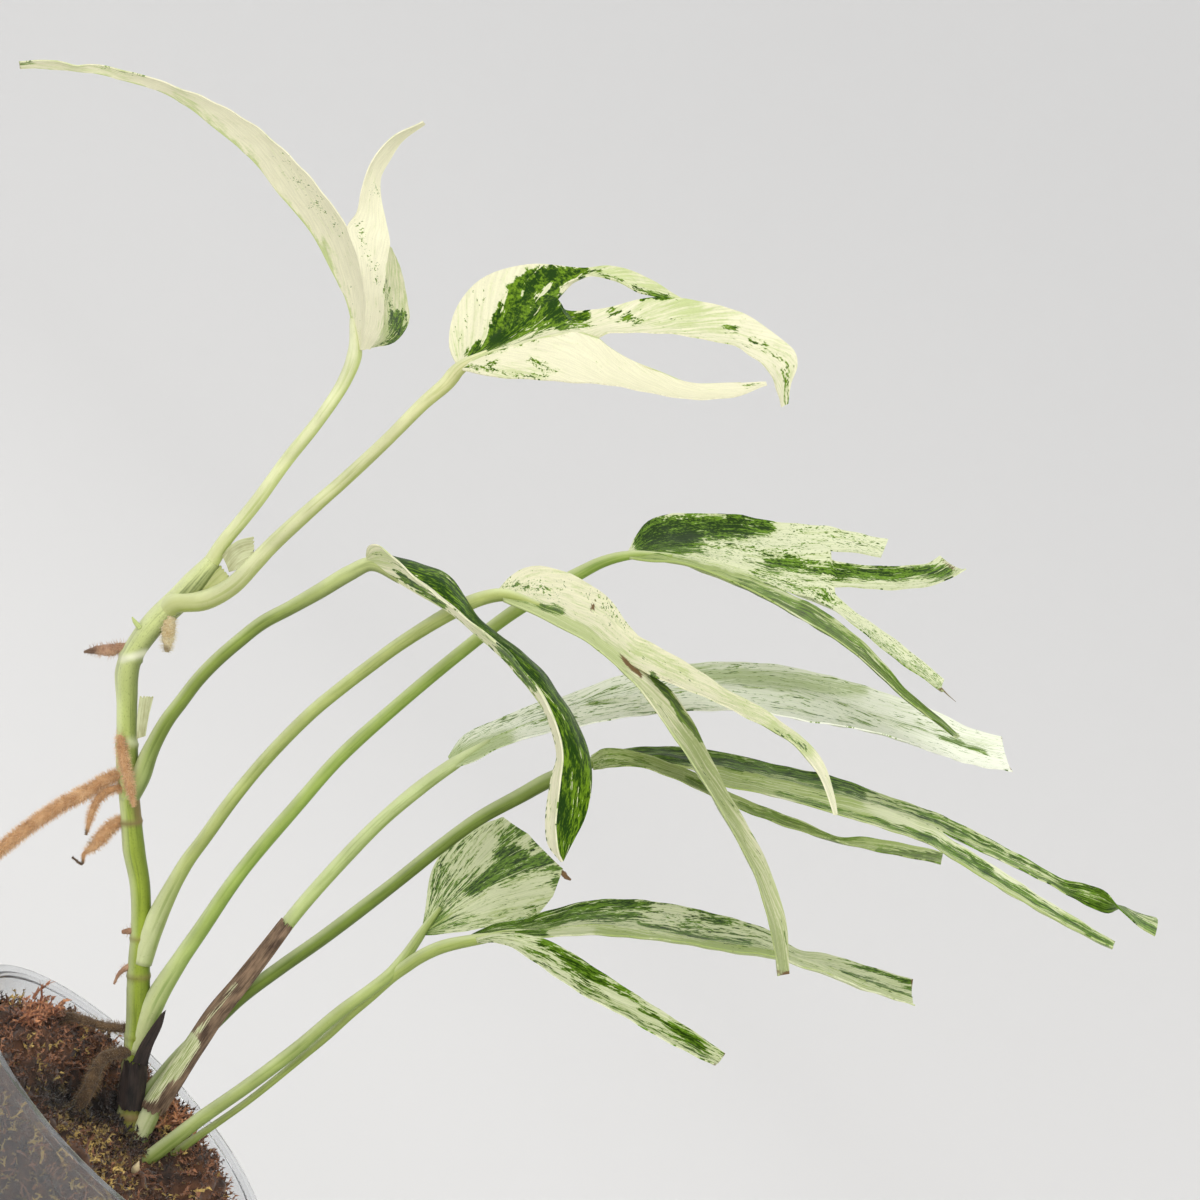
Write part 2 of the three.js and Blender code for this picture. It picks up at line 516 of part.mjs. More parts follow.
const LEAVES = {
  leaf_a: {
    petiole: petiole(
      [
        [209, 566, 1], [224, 542, 1], [242, 520, 1], [258, 500, 1], [287, 460, 0], [319, 420, 0],
        [345, 380, 0], [355, 352, 0], [353, 318, 0],
      ],
      [2.5, 2.1, 2.1, 2, 2, 1.9, 2, 2.3, 1],
    ),
    steps: { trunk: 6, lobe: 12 },
    arch: 0.08,
    strips: [
      [[A_FAR, A_FAR_TAIL], [A_RIB, A_RIB_TAIL]],
      [[A_RIB, A_RIB_TAIL], [A_SPLIT, A_TAIL_TOP]],
      [[A_SPLIT, A_HORN_LEFT], [A_FOLD, A_HORN_RIGHT]],
      [[A_FOLD], [A_BACK]],
    ],
  },
  leaf_b: {
    petiole: petiole(
      [
        [176, 603, 2], [205, 600, 2], [232, 586, 2], [254, 564, 2], [273, 544, 2], [318, 503, 2],
        [342, 482, 2], [385, 442, 2], [424, 403, 2], [446, 384, 2], [460, 368, 3], [488, 353, 4],
      ],
      [3.2, 3.1, 2.7, 2.4, 2.3, 2.1, 2, 1.9, 2, 2.3, 1.1],
    ),
    steps: { trunk: 7, lobe: 12 },
    arch: 0.1,
    strips: [
      [[B_RIM, B_BAND_TOP], [B_SPLIT, B_BAND_LOW]],
      [[B_SPLIT, B_MIDDLE_TOP], [B_RIB, B_MIDDLE_LOW]],
      [[B_RIB, B_LAST_TOP], [B_LOW, B_LAST_LOW]],
    ],
  },
  leaf_c: {
    petiole: petiole(
      [
        [128, 800, -1], [140, 778, 0], [150, 752, 1], [166, 722, 2], [181, 702, 3], [197, 681, 4],
        [216, 661, 5], [239, 641, 6], [262, 623, 7], [290, 608, 8], [320, 591, 10], [350, 573, 12],
        [372, 564, 13], [400, 581, 17],
      ],
      [3, 3, 2.4, 2.2, 2.1, 2.1, 2.1, 2.1, 2.1, 2.3, 2.4, 2.1, 0.9],
    ),
    steps: { trunk: 18 },
    arch: 0.08,
    strips: [[[C_NEAR], [C_RIB]], [[C_RIB], [C_FAR]]],
  },
  leaf_d: {
    petiole: petiole(
      [
        [141, 962, -3], [152, 930, -2], [163, 905, -1], [176, 880, -1], [188, 860, -1], [203, 840, 0],
        [232, 800, 0], [265, 760, 0], [310, 714, 1], [340, 689, 1], [370, 666, 2], [400, 644, 3],
        [450, 613, 5], [480, 599, 7], [505, 595, 9], [540, 605, 13],
      ],
      [3.4, 3.2, 2.4, 2.1, 2.1, 2, 2, 2, 2, 2, 2.1, 2.3, 2, 0.9],
    ),
    steps: { trunk: 7, lobe: 12 },
    arch: 0.1,
    strips: [
      [[D_TOP, D_UPPER_TOP], [D_SPLIT, D_UPPER_LOW]],
      [[D_SPLIT, D_LOWER_RIGHT], [D_LOW, D_LOWER_LEFT]],
    ],
  },
  leaf_e: {
    petiole: petiole(
      [
        [137, 1052, -5], [147, 1020, -4], [157, 997, -3], [180, 960, -4], [200, 931, -5],
        [240, 873, -6], [300, 802, -8], [340, 757, -9], [400, 703, -11], [460, 653, -13],
        [515, 611, -15], [580, 573, -16], [605, 561, -16], [632, 555, -16], [672, 556, -18],
      ],
      [3.6, 3.4, 2.6, 2.4, 2.2, 2.2, 2.1, 2.1, 2, 2, 2, 2.1, 2.2, 1.6, 0.8],
    ),
    steps: { trunk: 7, lobe: 9 },
    arch: 0.08,
    strips: [
      [[E_TOP, E_FIRST_TOP], [E_CUT_1, E_FIRST_LOW]],
      [[E_CUT_1, E_SECOND_TOP], [E_CUT_2, E_SECOND_LOW]],
      [[E_CUT_2, E_THIRD_TOP], [E_CUT_3, E_THIRD_LOW]],
      [[E_CUT_3, E_LAST_TOP], [E_LOW, E_LAST_LOW]],
    ],
  },
  leaf_f: {
    petiole: petiole(
      [
        [128, 1160, -6], [140, 1135, -6], [152, 1110, -6], [175, 1075, -6], [195, 1045, -7],
        [215, 1015, -7], [240, 985, -8], [262, 957, -8], [300, 908, -9], [340, 863, -10],
        [380, 822, -11], [420, 788, -12], [452, 765, -13], [490, 741, -15],
      ],
      [3.2, 3.1, 2.8, 2.4, 2.3, 2.2, 2.2, 2.2, 2.2, 2.2, 2.1, 2.2, 2, 0.9],
    ),
    steps: { trunk: 20 },
    arch: 0.08,
    strips: [[[F_TOP], [F_RIB]], [[F_RIB], [F_LOW]]],
  },
  leaf_g: {
    petiole: petiole(
      [
        [128, 1122, -9], [150, 1092, -11], [180, 1056, -12], [215, 1022, -12], [240, 998, -12],
        [280, 968, -11], [320, 940, -10], [360, 910, -10], [400, 879, -9], [440, 847, -9],
        [480, 818, -8], [520, 796, -8], [553, 778, -7], [594, 762, -6], [632, 757, -8],
      ],
      [2.8, 2.4, 2.3, 2.2, 2.2, 2.2, 2.2, 2.2, 2.1, 2.1, 2.1, 2.2, 2.4, 1.9, 0.9],
    ),
    steps: { trunk: 8, lobe: 9 },
    arch: 0.08,
    strips: [
      [[G_TOP, G_UPPER_TOP], [G_SPLIT, G_UPPER_LOW]],
      [[G_SPLIT, G_LOWER_TOP], [G_LOW, G_LOWER_LOW]],
    ],
    side: [[G_SIDE_TOP], [G_SIDE_LOW]],
  },
  leaf_h: {
    petiole: petiole(
      [
        [112, 1188, -5], [146, 1170, -4], [173, 1152, -3], [197, 1133, -3], [247, 1094, -3],
        [297, 1056, -4], [327, 1031, -4], [350, 1011, -4], [370, 995, -4], [390, 978, -3],
        [405, 967, -2], [420, 957, -1], [442, 947, 0], [474, 940, 1], [515, 934, 1],
      ],
      [2.4, 2.4, 2.2, 2.1, 2, 2, 2, 2, 2, 1.9, 1.9, 2, 2, 1.7, 0.8],
    ),
    steps: { trunk: 18 },
    arch: 0.08,
    strips: [[[H_TOP], [H_RIB]], [[H_RIB], [H_LOW]]],
    side: [[H_SIDE_TOP], [H_SIDE_LOW]],
  },
  leaf_i: {
    petiole: petiole(
      [
        [112, 1172, -2], [142, 1162, 2], [170, 1142, 3], [200, 1119, 3], [250, 1084, 2], [300, 1046, 1],
        [340, 1012, 1], [370, 990, 0], [390, 974, -2], [405, 957, -5], [417, 940, -9], [425, 928, -12],
        [440, 908, -16],
      ],
      [2.4, 2.4, 2.3, 2.2, 2.1, 2.1, 2.1, 2, 1.9, 1.8, 1.8, 1.5, 0.8],
    ),
    steps: { trunk: 8 },
    arch: 0.05,
    strips: I_FAN.slice(1).map((ribs, i) => [[I_FAN[i]], [ribs]]),
  },
};

function blade(strips, steps, arch) {
  const surface = new Surface();
  for (const [left, right] of strips) {
    addStrip(surface, rail(left, steps), rail(right, steps), arch);
  }
  return thicken(surface, BLADE_THICKNESS);
}

function buildLeaf({ petiole: stalk, steps, arch, strips, side }) {
  const leaf = limb(stalk).add(blade(strips, steps, arch));
  return side ? leaf.add(blade([side], steps, arch)) : leaf;
}

// Aerial roots, from where each leaves the stem to its tip.
const ROOTS = {
  root_top_tip: {
    drawn: [[134, 647, 0], [120, 648, 0], [110, 650, 0], [98, 650, 0], [84, 652, 0]],
    radii: [1.5, 1.8, 2.2, 1.5, 0.4],
    steps: 6,
    sides: ROOT_SIDES,
  },
  root_top_stub: {
    drawn: [[168, 606, 1], [168, 624, 1], [168, 638, 1], [167, 652, 1]],
    radii: [2.2, 2.6, 2.6, 2, 0.8],
    steps: 5,
    sides: ROOT_SIDES,
  },
  root_on_stem: {
    drawn: [[124, 730, 0], [121, 742, 3.4], [123, 756, 4.7], [128, 780, 4.7], [134, 807, 4.4]],
    radii: [1.2, 1.4, 1.5, 1.2, 0.5],
    steps: 7,
    sides: ROOT_SIDES,
  },
  root_long: {
    drawn: [
      [130, 772, 0], [112, 777, 1], [86, 792, 2], [60, 806, 3], [30, 826, 4], [0, 850, 5],
      [-28, 870, 4], [-46, 888, 3],
    ],
    radii: [1.6, 1.9, 2.1, 2.1, 2, 2, 1.8, 1.4, 0.5],
    steps: 14,
    sides: ROOT_SIDES,
  },
  root_branch: {
    drawn: [[128, 788, 0], [112, 789, 2], [100, 797, 2], [92, 812, 2], [86, 835, 2]],
    radii: [1.2, 1.2, 1.3, 1.1, 0.9, 0.4],
    steps: 8,
    sides: ROOT_SIDES,
  },
  root_fork: {
    drawn: [
      [132, 818, -1], [118, 822, -1], [106, 832, 0], [94, 846, 1], [84, 854, 1], [82, 864, 1],
      [72, 857, 1],
    ],
    radii: [1.4, 1.6, 2, 2.1, 1.5, 0.6, 0.4, 0.35],
    steps: 12,
    sides: ROOT_SIDES,
  },
  root_collar_stub: {
    drawn: [[140, 931, -3], [130, 931, -2], [122, 932, -2]],
    radii: [1.2, 1.3, 1.1, 0.7],
    steps: 4,
    sides: ROOT_SIDES,
  },
  root_collar_hook: {
    drawn: [[138, 965, -3], [128, 967, -2], [119, 974, -2], [114, 984, -2]],
    radii: [1.3, 1.2, 0.9, 0.6, 0.4],
    steps: 6,
    sides: ROOT_SIDES,
  },
  root_into_mound: {
    drawn: [
      [137, 1028, -5], [118, 1028, -5], [100, 1025, -5], [82, 1019, -5], [66, 1017, -6], [56, 1025, -7],
    ],
    radii: [1.6, 1.6, 1.5, 1.5, 1.6, 1.5],
    steps: 8,
    sides: ROOT_SIDES,
  },
  root_into_hollow: {
    drawn: [
      [138, 1050, -4], [120, 1053, -2], [105, 1057, 0], [96, 1070, 2], [90, 1086, 3], [80, 1104, 4],
      [66, 1122, 5], [50, 1138, 5],
    ],
    radii: [2, 2, 2.2, 2.4, 2.3, 2, 1.8],
    steps: 11,
    sides: ROOT_SIDES,
  },
};

// Dry sheaths. A wrap lies round part of a limb, between two shares of its length. Its angles are
// counted in degrees from the viewer's side.
const SHEATH_ROOM = GAP + SHEATH_LOOSENESS + SHEATH_THICKNESS;

function addWrap(surface, { drawn, radii }, { from, to, startAngle, endAngle, flare = 0, steps, rows }) {
  const path = even(smooth(drawn), steps.whole);
  const first = Math.round(from * steps.whole);
  const last = Math.round(to * steps.whole);
  const rings = [];
  for (let i = first; i <= last; i++) {
    const ahead = path[Math.min(i + 1, steps.whole)].clone().sub(path[Math.max(i - 1, 0)]).normalize();
    const front = towardViewer.clone().addScaledVector(ahead, -ahead.dot(towardViewer)).normalize();
    const other = ahead.clone().cross(front);
    const part = (i - first) / (last - first);
    const radius = blend(radii, i / steps.whole) + SHEATH_ROOM - SHEATH_THICKNESS / 2 + flare * part;
    const ring = [];
    for (let j = 0; j <= rows; j++) {
      const share = j / rows;
      const angle = THREE.MathUtils.degToRad(THREE.MathUtils.lerp(
        blend(startAngle, part), blend(endAngle, part), share,
      ));
      const p = path[i].clone().addScaledVector(front, radius * Math.cos(angle));
      ring.push(surface.point(p.addScaledVector(other, radius * Math.sin(angle))));
    }
    rings.push(ring);
  }
  for (let i = 1; i < rings.length; i++) {
    for (let j = 1; j <= rows; j++) {
      surface.quad(rings[i - 1][j - 1], rings[i][j - 1], rings[i][j], rings[i - 1][j]);
    }
  }
}

function wrap(around, shape) {
  const surface = new Surface();
  addWrap(surface, around, shape);
  return thicken(surface, SHEATH_THICKNESS);
}

function flap(left, right, count, arch) {
  const surface = new Surface();
  addStrip(surface, even(smooth(left), count), even(smooth(right), count), arch);
  return thicken(surface, SHEATH_THICKNESS);
}

// The torn brown sheath round the lower part of petiole f.
function dryPetioleSheath() {
  return wrap(LEAVES.leaf_f.petiole, {
    from: 0.1, to: 0.52, startAngle: [-120, -95, -70, -60], endAngle: [120, 110, 70, 45], flare: 0.1,
    steps: { whole: 30 }, rows: 5,
  });
}

// The black dead sheath round the foot of the stem, with a tongue up the foot of petiole e.
function blackSheath() {
  const band = wrap(STEM, {
    from: 0.19, to: 0.265, startAngle: [-150, -110], endAngle: [100, 60],
    steps: { whole: 100 }, rows: 6,
  });
  const tongue = flap(
    [[132, 1062, 1], [139, 1047, 1.3], [149, 1031, 1.3], [160, 1016, 1]],
    [[147, 1066, 0], [153, 1046, 0], [162, 1026, 0], [166, 1010, 0.5]], 6, 0.05,
  );
  return band.add(tongue);
}

// The papery end of the sheath where petioles a and b part.
function topSheath() {
  return flap(
    [[222, 556, 3], [230, 546, 3.4], [240, 540, 3.4], [253, 537, 3]],
    [[229, 572, 2.4], [238, 569, 2.6], [247, 564, 2.6], [254, 556, 2.4]], 5, 0.12,
  );
}

// The dry cone of a sheath between the stem and petiole c.
function axilSheath() {
  return flap(
    [[141, 738, 1], [139.5, 720, 1], [140.5, 697, 1]],
    [[145, 736, 2.4], [148, 718, 2.6], [153, 697, 2.6]], 5, 0.15,
  );
}

// Moss. Mounds and a hollow are given by place, spread and height, over the moss's mean level.
const MOUNDS = [
  { at: [-31, 5], spread: 11, height: 15 },
  { at: [30, 5], spread: 9, height: 14 },
  { at: [9, 26], spread: 12, height: 11 },
  { at: [-22, 28], spread: 13, height: 7 },
  { at: [-11, -1], spread: 7, height: -9 },
];

function potInside(z) {
  const slope = (POT_RIM_RADIUS - POT_LIP_REACH - POT_BASE_RADIUS) / POT_HEIGHT;
  return POT_BASE_RADIUS - POT_WALL + slope * z;
}

function mossHeight(x, y) {
  let z = POT_HEIGHT + MOSS_LEVEL;
  for (const { at, spread, height } of MOUNDS) {
    z += height * Math.exp(-((x - at[0]) ** 2 + (y - at[1]) ** 2) / (2 * spread ** 2));
  }
  return z + MOSS_LUMP * (Math.sin(0.43 * x + 0.9) * Math.cos(0.37 * y) + Math.sin(0.29 * (x + y)));
}

function mossPlug() {
  const flatLoss = potInside(POT_HEIGHT) * (1 - Math.cos(Math.PI / POT_SIDES));
  const clearance = GAP + flatLoss;
  const floor = POT_FLOOR + GAP;
  const points = [new THREE.Vector3(0, 0, mossHeight(0, 0)), new THREE.Vector3(0, 0, floor)];
  for (let i = 1; i <= MOSS_RINGS + 1; i++) {
    for (let j = 0; j < POT_SIDES; j++) {
      const angle = (2 * Math.PI * j) / POT_SIDES;
      const [c, s] = [Math.cos(angle), Math.sin(angle)];
      if (i > MOSS_RINGS) {
        const radius = potInside(floor) - clearance;
        points.push(new THREE.Vector3(radius * c, radius * s, floor));
      } else {
        const reach = (potInside(POT_HEIGHT) - clearance) * (i / MOSS_RINGS);
        const z = mossHeight(reach * c, reach * s);
        const radius = Math.min(reach, potInside(z) - clearance);
        const height = Math.min(z, mossHeight(radius * c, radius * s));
        points.push(new THREE.Vector3(radius * c, radius * s, height));
      }
    }
  }
  const at = (ring, j) => 2 + (ring - 1) * POT_SIDES + (j % POT_SIDES);
  const faces = [];
  for (let j = 0; j < POT_SIDES; j++) {
    faces.push([0, at(1, j), at(1, j + 1)]);
    faces.push([1, at(MOSS_RINGS + 1, j + 1), at(MOSS_RINGS + 1, j)]);
    for (let i = 1; i <= MOSS_RINGS; i++) {
      faces.push([at(i, j), at(i + 1, j), at(i + 1, j + 1)]);
      faces.push([at(i, j), at(i + 1, j + 1), at(i, j + 1)]);
    }
  }
  return toSolid(points, faces);
}

// Pot: a thin clear cup with a rolled lip.
function potGeometry() {
  const neck = POT_RIM_RADIUS - POT_LIP_REACH;
  const lip = POT_HEIGHT - POT_LIP_HEIGHT;
  const profile = [
    [0, 0],
    [POT_BASE_RADIUS - POT_FOOT_BEVEL, 0],
    [POT_BASE_RADIUS, POT_FOOT_BEVEL],
    [neck, lip],
    [POT_RIM_RADIUS - POT_FOOT_BEVEL / 3, lip],
    [POT_RIM_RADIUS, lip + POT_FOOT_BEVEL / 3],
    [POT_RIM_RADIUS, POT_HEIGHT - POT_FOOT_BEVEL / 3],
    [POT_RIM_RADIUS - POT_FOOT_BEVEL / 3, POT_HEIGHT],
    [neck - POT_WALL, POT_HEIGHT],
    [potInside(POT_FLOOR), POT_FLOOR],
    [0, POT_FLOOR],
  ];
  const geometry = new THREE.LatheGeometry(profile.map(([r, z]) => new THREE.Vector2(r, z)), POT_SIDES);
  return geometry.rotateX(Math.PI / 2);
}

// Materials
const finish = (color, roughness, more = {}) => {
  return () => new THREE.MeshStandardMaterial({ color, roughness, metalness: 0, ...more });
};
const clearPlastic = finish(0xe4e4e2, 0.35, { transparent: true, opacity: 0.45 });
const sphagnum = finish(0x8a5a38, 0.95);
const stemGreen = finish(0xa9bb62, 0.5);
const variegated = finish(0xcfdaa6, 0.45);
const rootBrown = finish(0xb9855a, 0.9);
const dryBrown = finish(0x6f5240, 0.85);
const deadBlack = finish(0x2c2523, 0.8);
const papery = finish(0xc3cda0, 0.7);

// Assembly
const plant = new THREE.Group();

function addPart(name, geometry, material) {
  const mesh = new THREE.Mesh(geometry, material());
  mesh.name = name;
  plant.add(mesh);
}

// What stands in or beside other pieces is cut back to leave the gap round each of them.
const standing = [];

function seat(solid, around = standing) {
  return largest(around.reduce((left, neighbour) => left.subtract(neighbour), solid));
}

addPart("pot", potGeometry(), clearPlastic);
addPart("stem", toGeometry(limb(STEM)), stemGreen);
standing.push(limb(STEM, GAP));

for (const [name, leaf] of Object.entries(LEAVES)) {
  addPart(name, toGeometry(seat(buildLeaf(leaf))), variegated);
  standing.push(limb(leaf.petiole, GAP));
}

for (const [name, root] of Object.entries(ROOTS)) {
  addPart(name, toGeometry(seat(limb(root))), rootBrown);
  standing.push(limb(root, GAP));
}

const besideStemSheath = [...standing, limb(STEM, SHEATH_ROOM + GAP)];
addPart("sheath_petiole_f", toGeometry(seat(dryPetioleSheath(), besideStemSheath)), dryBrown);
addPart("sheath_stem_foot", toGeometry(seat(blackSheath())), deadBlack);
addPart("sheath_top", toGeometry(seat(topSheath())), papery);
addPart("sheath_axil_c", toGeometry(seat(axilSheath())), papery);
addPart("moss", toGeometry(seat(mossPlug())), sphagnum);

export default plant;
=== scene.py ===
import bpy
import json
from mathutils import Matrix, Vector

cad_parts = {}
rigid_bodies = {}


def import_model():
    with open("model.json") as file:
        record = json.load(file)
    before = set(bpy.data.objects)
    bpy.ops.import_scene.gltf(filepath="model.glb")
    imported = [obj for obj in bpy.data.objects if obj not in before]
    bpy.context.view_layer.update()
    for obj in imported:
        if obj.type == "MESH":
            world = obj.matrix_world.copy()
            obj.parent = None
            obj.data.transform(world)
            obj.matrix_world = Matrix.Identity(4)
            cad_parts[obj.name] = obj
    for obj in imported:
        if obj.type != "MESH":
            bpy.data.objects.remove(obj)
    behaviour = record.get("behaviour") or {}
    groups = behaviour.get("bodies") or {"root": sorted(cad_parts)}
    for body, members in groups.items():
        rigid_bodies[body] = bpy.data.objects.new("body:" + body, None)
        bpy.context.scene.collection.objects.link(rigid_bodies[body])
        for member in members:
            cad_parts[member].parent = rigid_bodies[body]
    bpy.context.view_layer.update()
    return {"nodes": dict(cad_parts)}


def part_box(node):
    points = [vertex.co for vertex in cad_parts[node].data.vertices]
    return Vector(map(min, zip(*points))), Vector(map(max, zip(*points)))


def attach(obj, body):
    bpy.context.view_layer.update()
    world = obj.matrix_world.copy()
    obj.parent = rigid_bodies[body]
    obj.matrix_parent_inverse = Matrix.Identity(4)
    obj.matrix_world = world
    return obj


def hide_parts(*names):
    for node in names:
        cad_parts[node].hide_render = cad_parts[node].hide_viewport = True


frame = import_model()
print("frame:", len(frame["nodes"]), "nodes")

# %% [markdown]
# The photograph was taken with a long lens, and the pot lay tilted in it. Here the pot stands upright, so
# it is the camera that rolls.
# %% Point of view
import json
import math
import random

import bmesh
import bpy
import numpy as np
from mathutils import Matrix, Vector

MM = 0.001
VIEW_SIZE = 1200
VIEW_FOCAL_LENGTH = 3317
VIEW_DISTANCE = 1.0042
VIEW_RIM_CENTRE = (123.4, 1111.1)
VIEW_ROLL = math.radians(45.93)
VIEW_ELEVATION = math.radians(6.52)

pot_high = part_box("pot")[1]
POT_HEIGHT = pot_high[2]
POT_RIM_RADIUS = pot_high[0]

toward_viewer = Vector((0, -math.cos(VIEW_ELEVATION), math.sin(VIEW_ELEVATION)))
upright = Vector((0, math.sin(VIEW_ELEVATION), math.cos(VIEW_ELEVATION)))
roll = Matrix.Rotation(VIEW_ROLL, 3, toward_viewer)
view_right = roll @ Vector((1, 0, 0))
view_up = roll @ upright


def sight_lines(pixels):
    """The lines of sight through pixels, each one unit deep."""
    across = (pixels[:, :1] - VIEW_SIZE / 2) / VIEW_FOCAL_LENGTH
    rise = (VIEW_SIZE / 2 - pixels[:, 1:2]) / VIEW_FOCAL_LENGTH
    return across * np.array(view_right) + rise * np.array(view_up) - np.array(toward_viewer)


rim_line = sight_lines(np.array([VIEW_RIM_CENTRE], float))[0]
eye = np.array((0, 0, POT_HEIGHT)) - VIEW_DISTANCE * rim_line
print("the eye is at", eye.round(3), "m")

# %% [markdown]
# Everything that was drawn on the photograph is placed through this eye: the line of sight through a pixel
# is followed to the upright plane that lies some millimetres in front of the pot's axis. The way back, from
# a place to its pixel, is needed to paint marks where the photograph shows them.
# %% Drawn points
def place(drawn):
    """Drawn points (pixel across, pixel down, millimetres in front of the axis) in the row frame."""
    drawn = np.asarray(drawn, float)
    sight = sight_lines(drawn)
    reach = (-drawn[:, 2] * MM - eye[1]) / sight[:, 1]
    return eye + sight * reach[:, None]


def pixels_of(points):
    """Where points in the row frame are seen."""
    away = points - eye
    depth = -(away @ np.array(toward_viewer))
    across = VIEW_SIZE / 2 + VIEW_FOCAL_LENGTH * (away @ np.array(view_right)) / depth
    down = VIEW_SIZE / 2 - VIEW_FOCAL_LENGTH * (away @ np.array(view_up)) / depth
    return np.stack([across, down], axis=-1)


rim_seen = pixels_of(np.array([[0, 0, POT_HEIGHT]]))[0]
print("the middle of the rim is seen at pixel", rim_seen.round(1))

# %% [markdown]
# The camera itself stands at that eye. Its lens follows from the focal length in pixels and the width of
# the sensor, and its rolled axes are the three directions of the view.
# %% Camera
SENSOR = 36
FAR_END = 50

camera_data = bpy.data.cameras.new("camera")
camera_data.sensor_width = SENSOR
camera_data.lens = VIEW_FOCAL_LENGTH * SENSOR / VIEW_SIZE
camera_data.clip_end = FAR_END
camera = bpy.data.objects.new("camera", camera_data)
turned = Matrix((view_right, view_up, toward_viewer)).transposed()
camera.matrix_world = Matrix.Translation(eye) @ turned.to_4x4()
bpy.context.collection.objects.link(camera)
bpy.context.scene.camera = camera
print("camera: lens", round(camera_data.lens, 1), "mm")

# %% [markdown]
# A leaf is drawn with rails, which are smooth lines through a few points. These helpers turn drawn points
# into an evenly spaced line.
# %% Smooth lines
CURVE_DETAIL = 12
SAMPLE_LINE = [(600, 600, 0), (660, 590, 0), (700, 560, 0)]


def smooth(drawn, first=0):
    points = place(drawn)
    before = 2 * points[0] - points[1]
    after = 2 * points[-1] - points[-2]
    points = np.concatenate([[before], points, [after]])
    gaps = np.linalg.norm(np.diff(points, axis=0), axis=1) ** 0.5
    line = []
    share = np.arange(CURVE_DETAIL)[:, None] / CURVE_DETAIL
    for i in range(first + 1, len(points) - 2):
        a, b, c, d = points[i - 1:i + 3]
        ga, gb, gc = gaps[i - 1:i + 2]
        leave = ((b - a) / ga - (c - a) / (ga + gb) + (c - b) / gb) * gb
        arrive = ((c - b) / gb - (d - b) / (gb + gc) + (d - c) / gc) * gb
        line.append(
            b + leave * share + (3 * (c - b) - 2 * leave - arrive) * share**2
            + (2 * (b - c) + leave + arrive) * share**3
        )
    line.append(points[-2][None])
    return np.concatenate(line)


def along_of(path):
    return np.concatenate([[0], np.cumsum(np.linalg.norm(np.diff(path, axis=0), axis=1))])


def even(line, count):
    """The line again, with its points evenly spaced."""
    reach = along_of(line)
    wanted = np.linspace(0, reach[-1], count + 1)
    return np.stack([np.interp(wanted, reach, line[:, k]) for k in range(3)], axis=1)


def rail(parts, steps):
    """A rail up the undivided part of a blade and then along one side of a lobe."""
    trunk, *lobe = parts
    points = even(smooth(trunk), steps[0])
    if lobe:
        onward = smooth([*trunk[-2:], *lobe[0]], 1)
        points = np.concatenate([points, even(onward, steps[1])[1:]])
    return points


def rail_length(parts):
    """How long a rail is, in millimetres."""
    return round(along_of(rail(parts, (50, 50)))[-1] / MM)


print("a line through", len(SAMPLE_LINE), "points is", rail_length((SAMPLE_LINE,)), "mm long")

# %% [markdown]
# The pieces are worked on with the operators that a modeller uses by hand. Operators act on what is
# selected and active, so each helper first selects its piece alone.
# %% Edit helpers
WELD_DISTANCE = 0.005 * MM


def only(*chosen):
    """Selects these objects alone and makes the first one active."""
    bpy.ops.object.select_all(action="DESELECT")
    for one in chosen:
        one.select_set(True)
    bpy.context.view_layer.objects.active = chosen[0]


def in_edit_mode(piece, *steps):
    """Runs edit operators on the whole of a piece."""
    only(piece)
    bpy.ops.object.mode_set(mode="EDIT")
    bpy.ops.mesh.select_all(action="SELECT")
    for step in steps:
        step()
    bpy.ops.object.mode_set(mode="OBJECT")


def weld():
    bpy.ops.mesh.remove_doubles(threshold=WELD_DISTANCE)


def face_outwards():
    bpy.ops.mesh.normals_make_consistent(inside=False)


def close_ends():
    bpy.ops.mesh.select_all(action="DESELECT")
    bpy.ops.mesh.select_mode(type="EDGE")
    bpy.ops.mesh.select_non_manifold()
    bpy.ops.mesh.fill_holes(sides=0)
    bpy.ops.mesh.select_mode(type="VERT")
    bpy.ops.mesh.select_all(action="SELECT")


def finish_with(piece, kind, **settings):
    """Adds a modifier and applies it."""
    only(piece)
    modifier = piece.modifiers.new(kind.title(), kind)
    for name, value in settings.items():
        setattr(modifier, name, value)
    bpy.ops.object.modifier_apply(modifier=modifier.name)


def join(name, parts):
    only(*parts)
    if len(parts) > 1:
        bpy.ops.object.join()
    parts[0].name = name
    parts[0].data.name = name
    return parts[0]


print("points closer than", round(WELD_DISTANCE / MM, 4), "mm are welded")

# %% [markdown]
# Every piece starts as a primitive grid, which brings a neat net of squares and a UV map. Its points are
# then laid over the drawn surface, as a sheet of paper is bent over a form.
# %% Sheets
CM = 0.01


def set_attribute(piece, name, values):
    attribute = piece.data.attributes.get(name) or piece.data.attributes.new(name, "FLOAT", "POINT")
    attribute.data.foreach_set("value", np.asarray(values, np.float32).ravel())


def lay_sheet(name, points, uv=None):
    """A primitive grid whose net of squares is laid over points[along, across]."""
    along, across = points.shape[0] - 1, points.shape[1] - 1
    bpy.ops.object.select_all(action="DESELECT")
    bpy.ops.mesh.primitive_grid_add(x_subdivisions=across, y_subdivisions=along, size=1)
    sheet = bpy.context.active_object
    sheet.name = name
    mesh = sheet.data
    flat = np.empty(len(mesh.vertices) * 3, np.float32)
    mesh.vertices.foreach_get("co", flat)
    flat = flat.reshape(-1, 3)
    i = np.rint((flat[:, 1] + 0.5) * along).astype(int)
    j = np.rint((flat[:, 0] + 0.5) * across).astype(int)
    mesh.vertices.foreach_set("co", points[i, j].astype(np.float32).ravel())
    if uv is not None:
        corners = np.empty(len(mesh.loops), np.int32)
        mesh.loops.foreach_get("vertex_index", corners)
        mesh.uv_layers[0].data.foreach_set("uv", uv[i, j][corners].astype(np.float32).ravel())
    mesh.update()
    return sheet, i, j


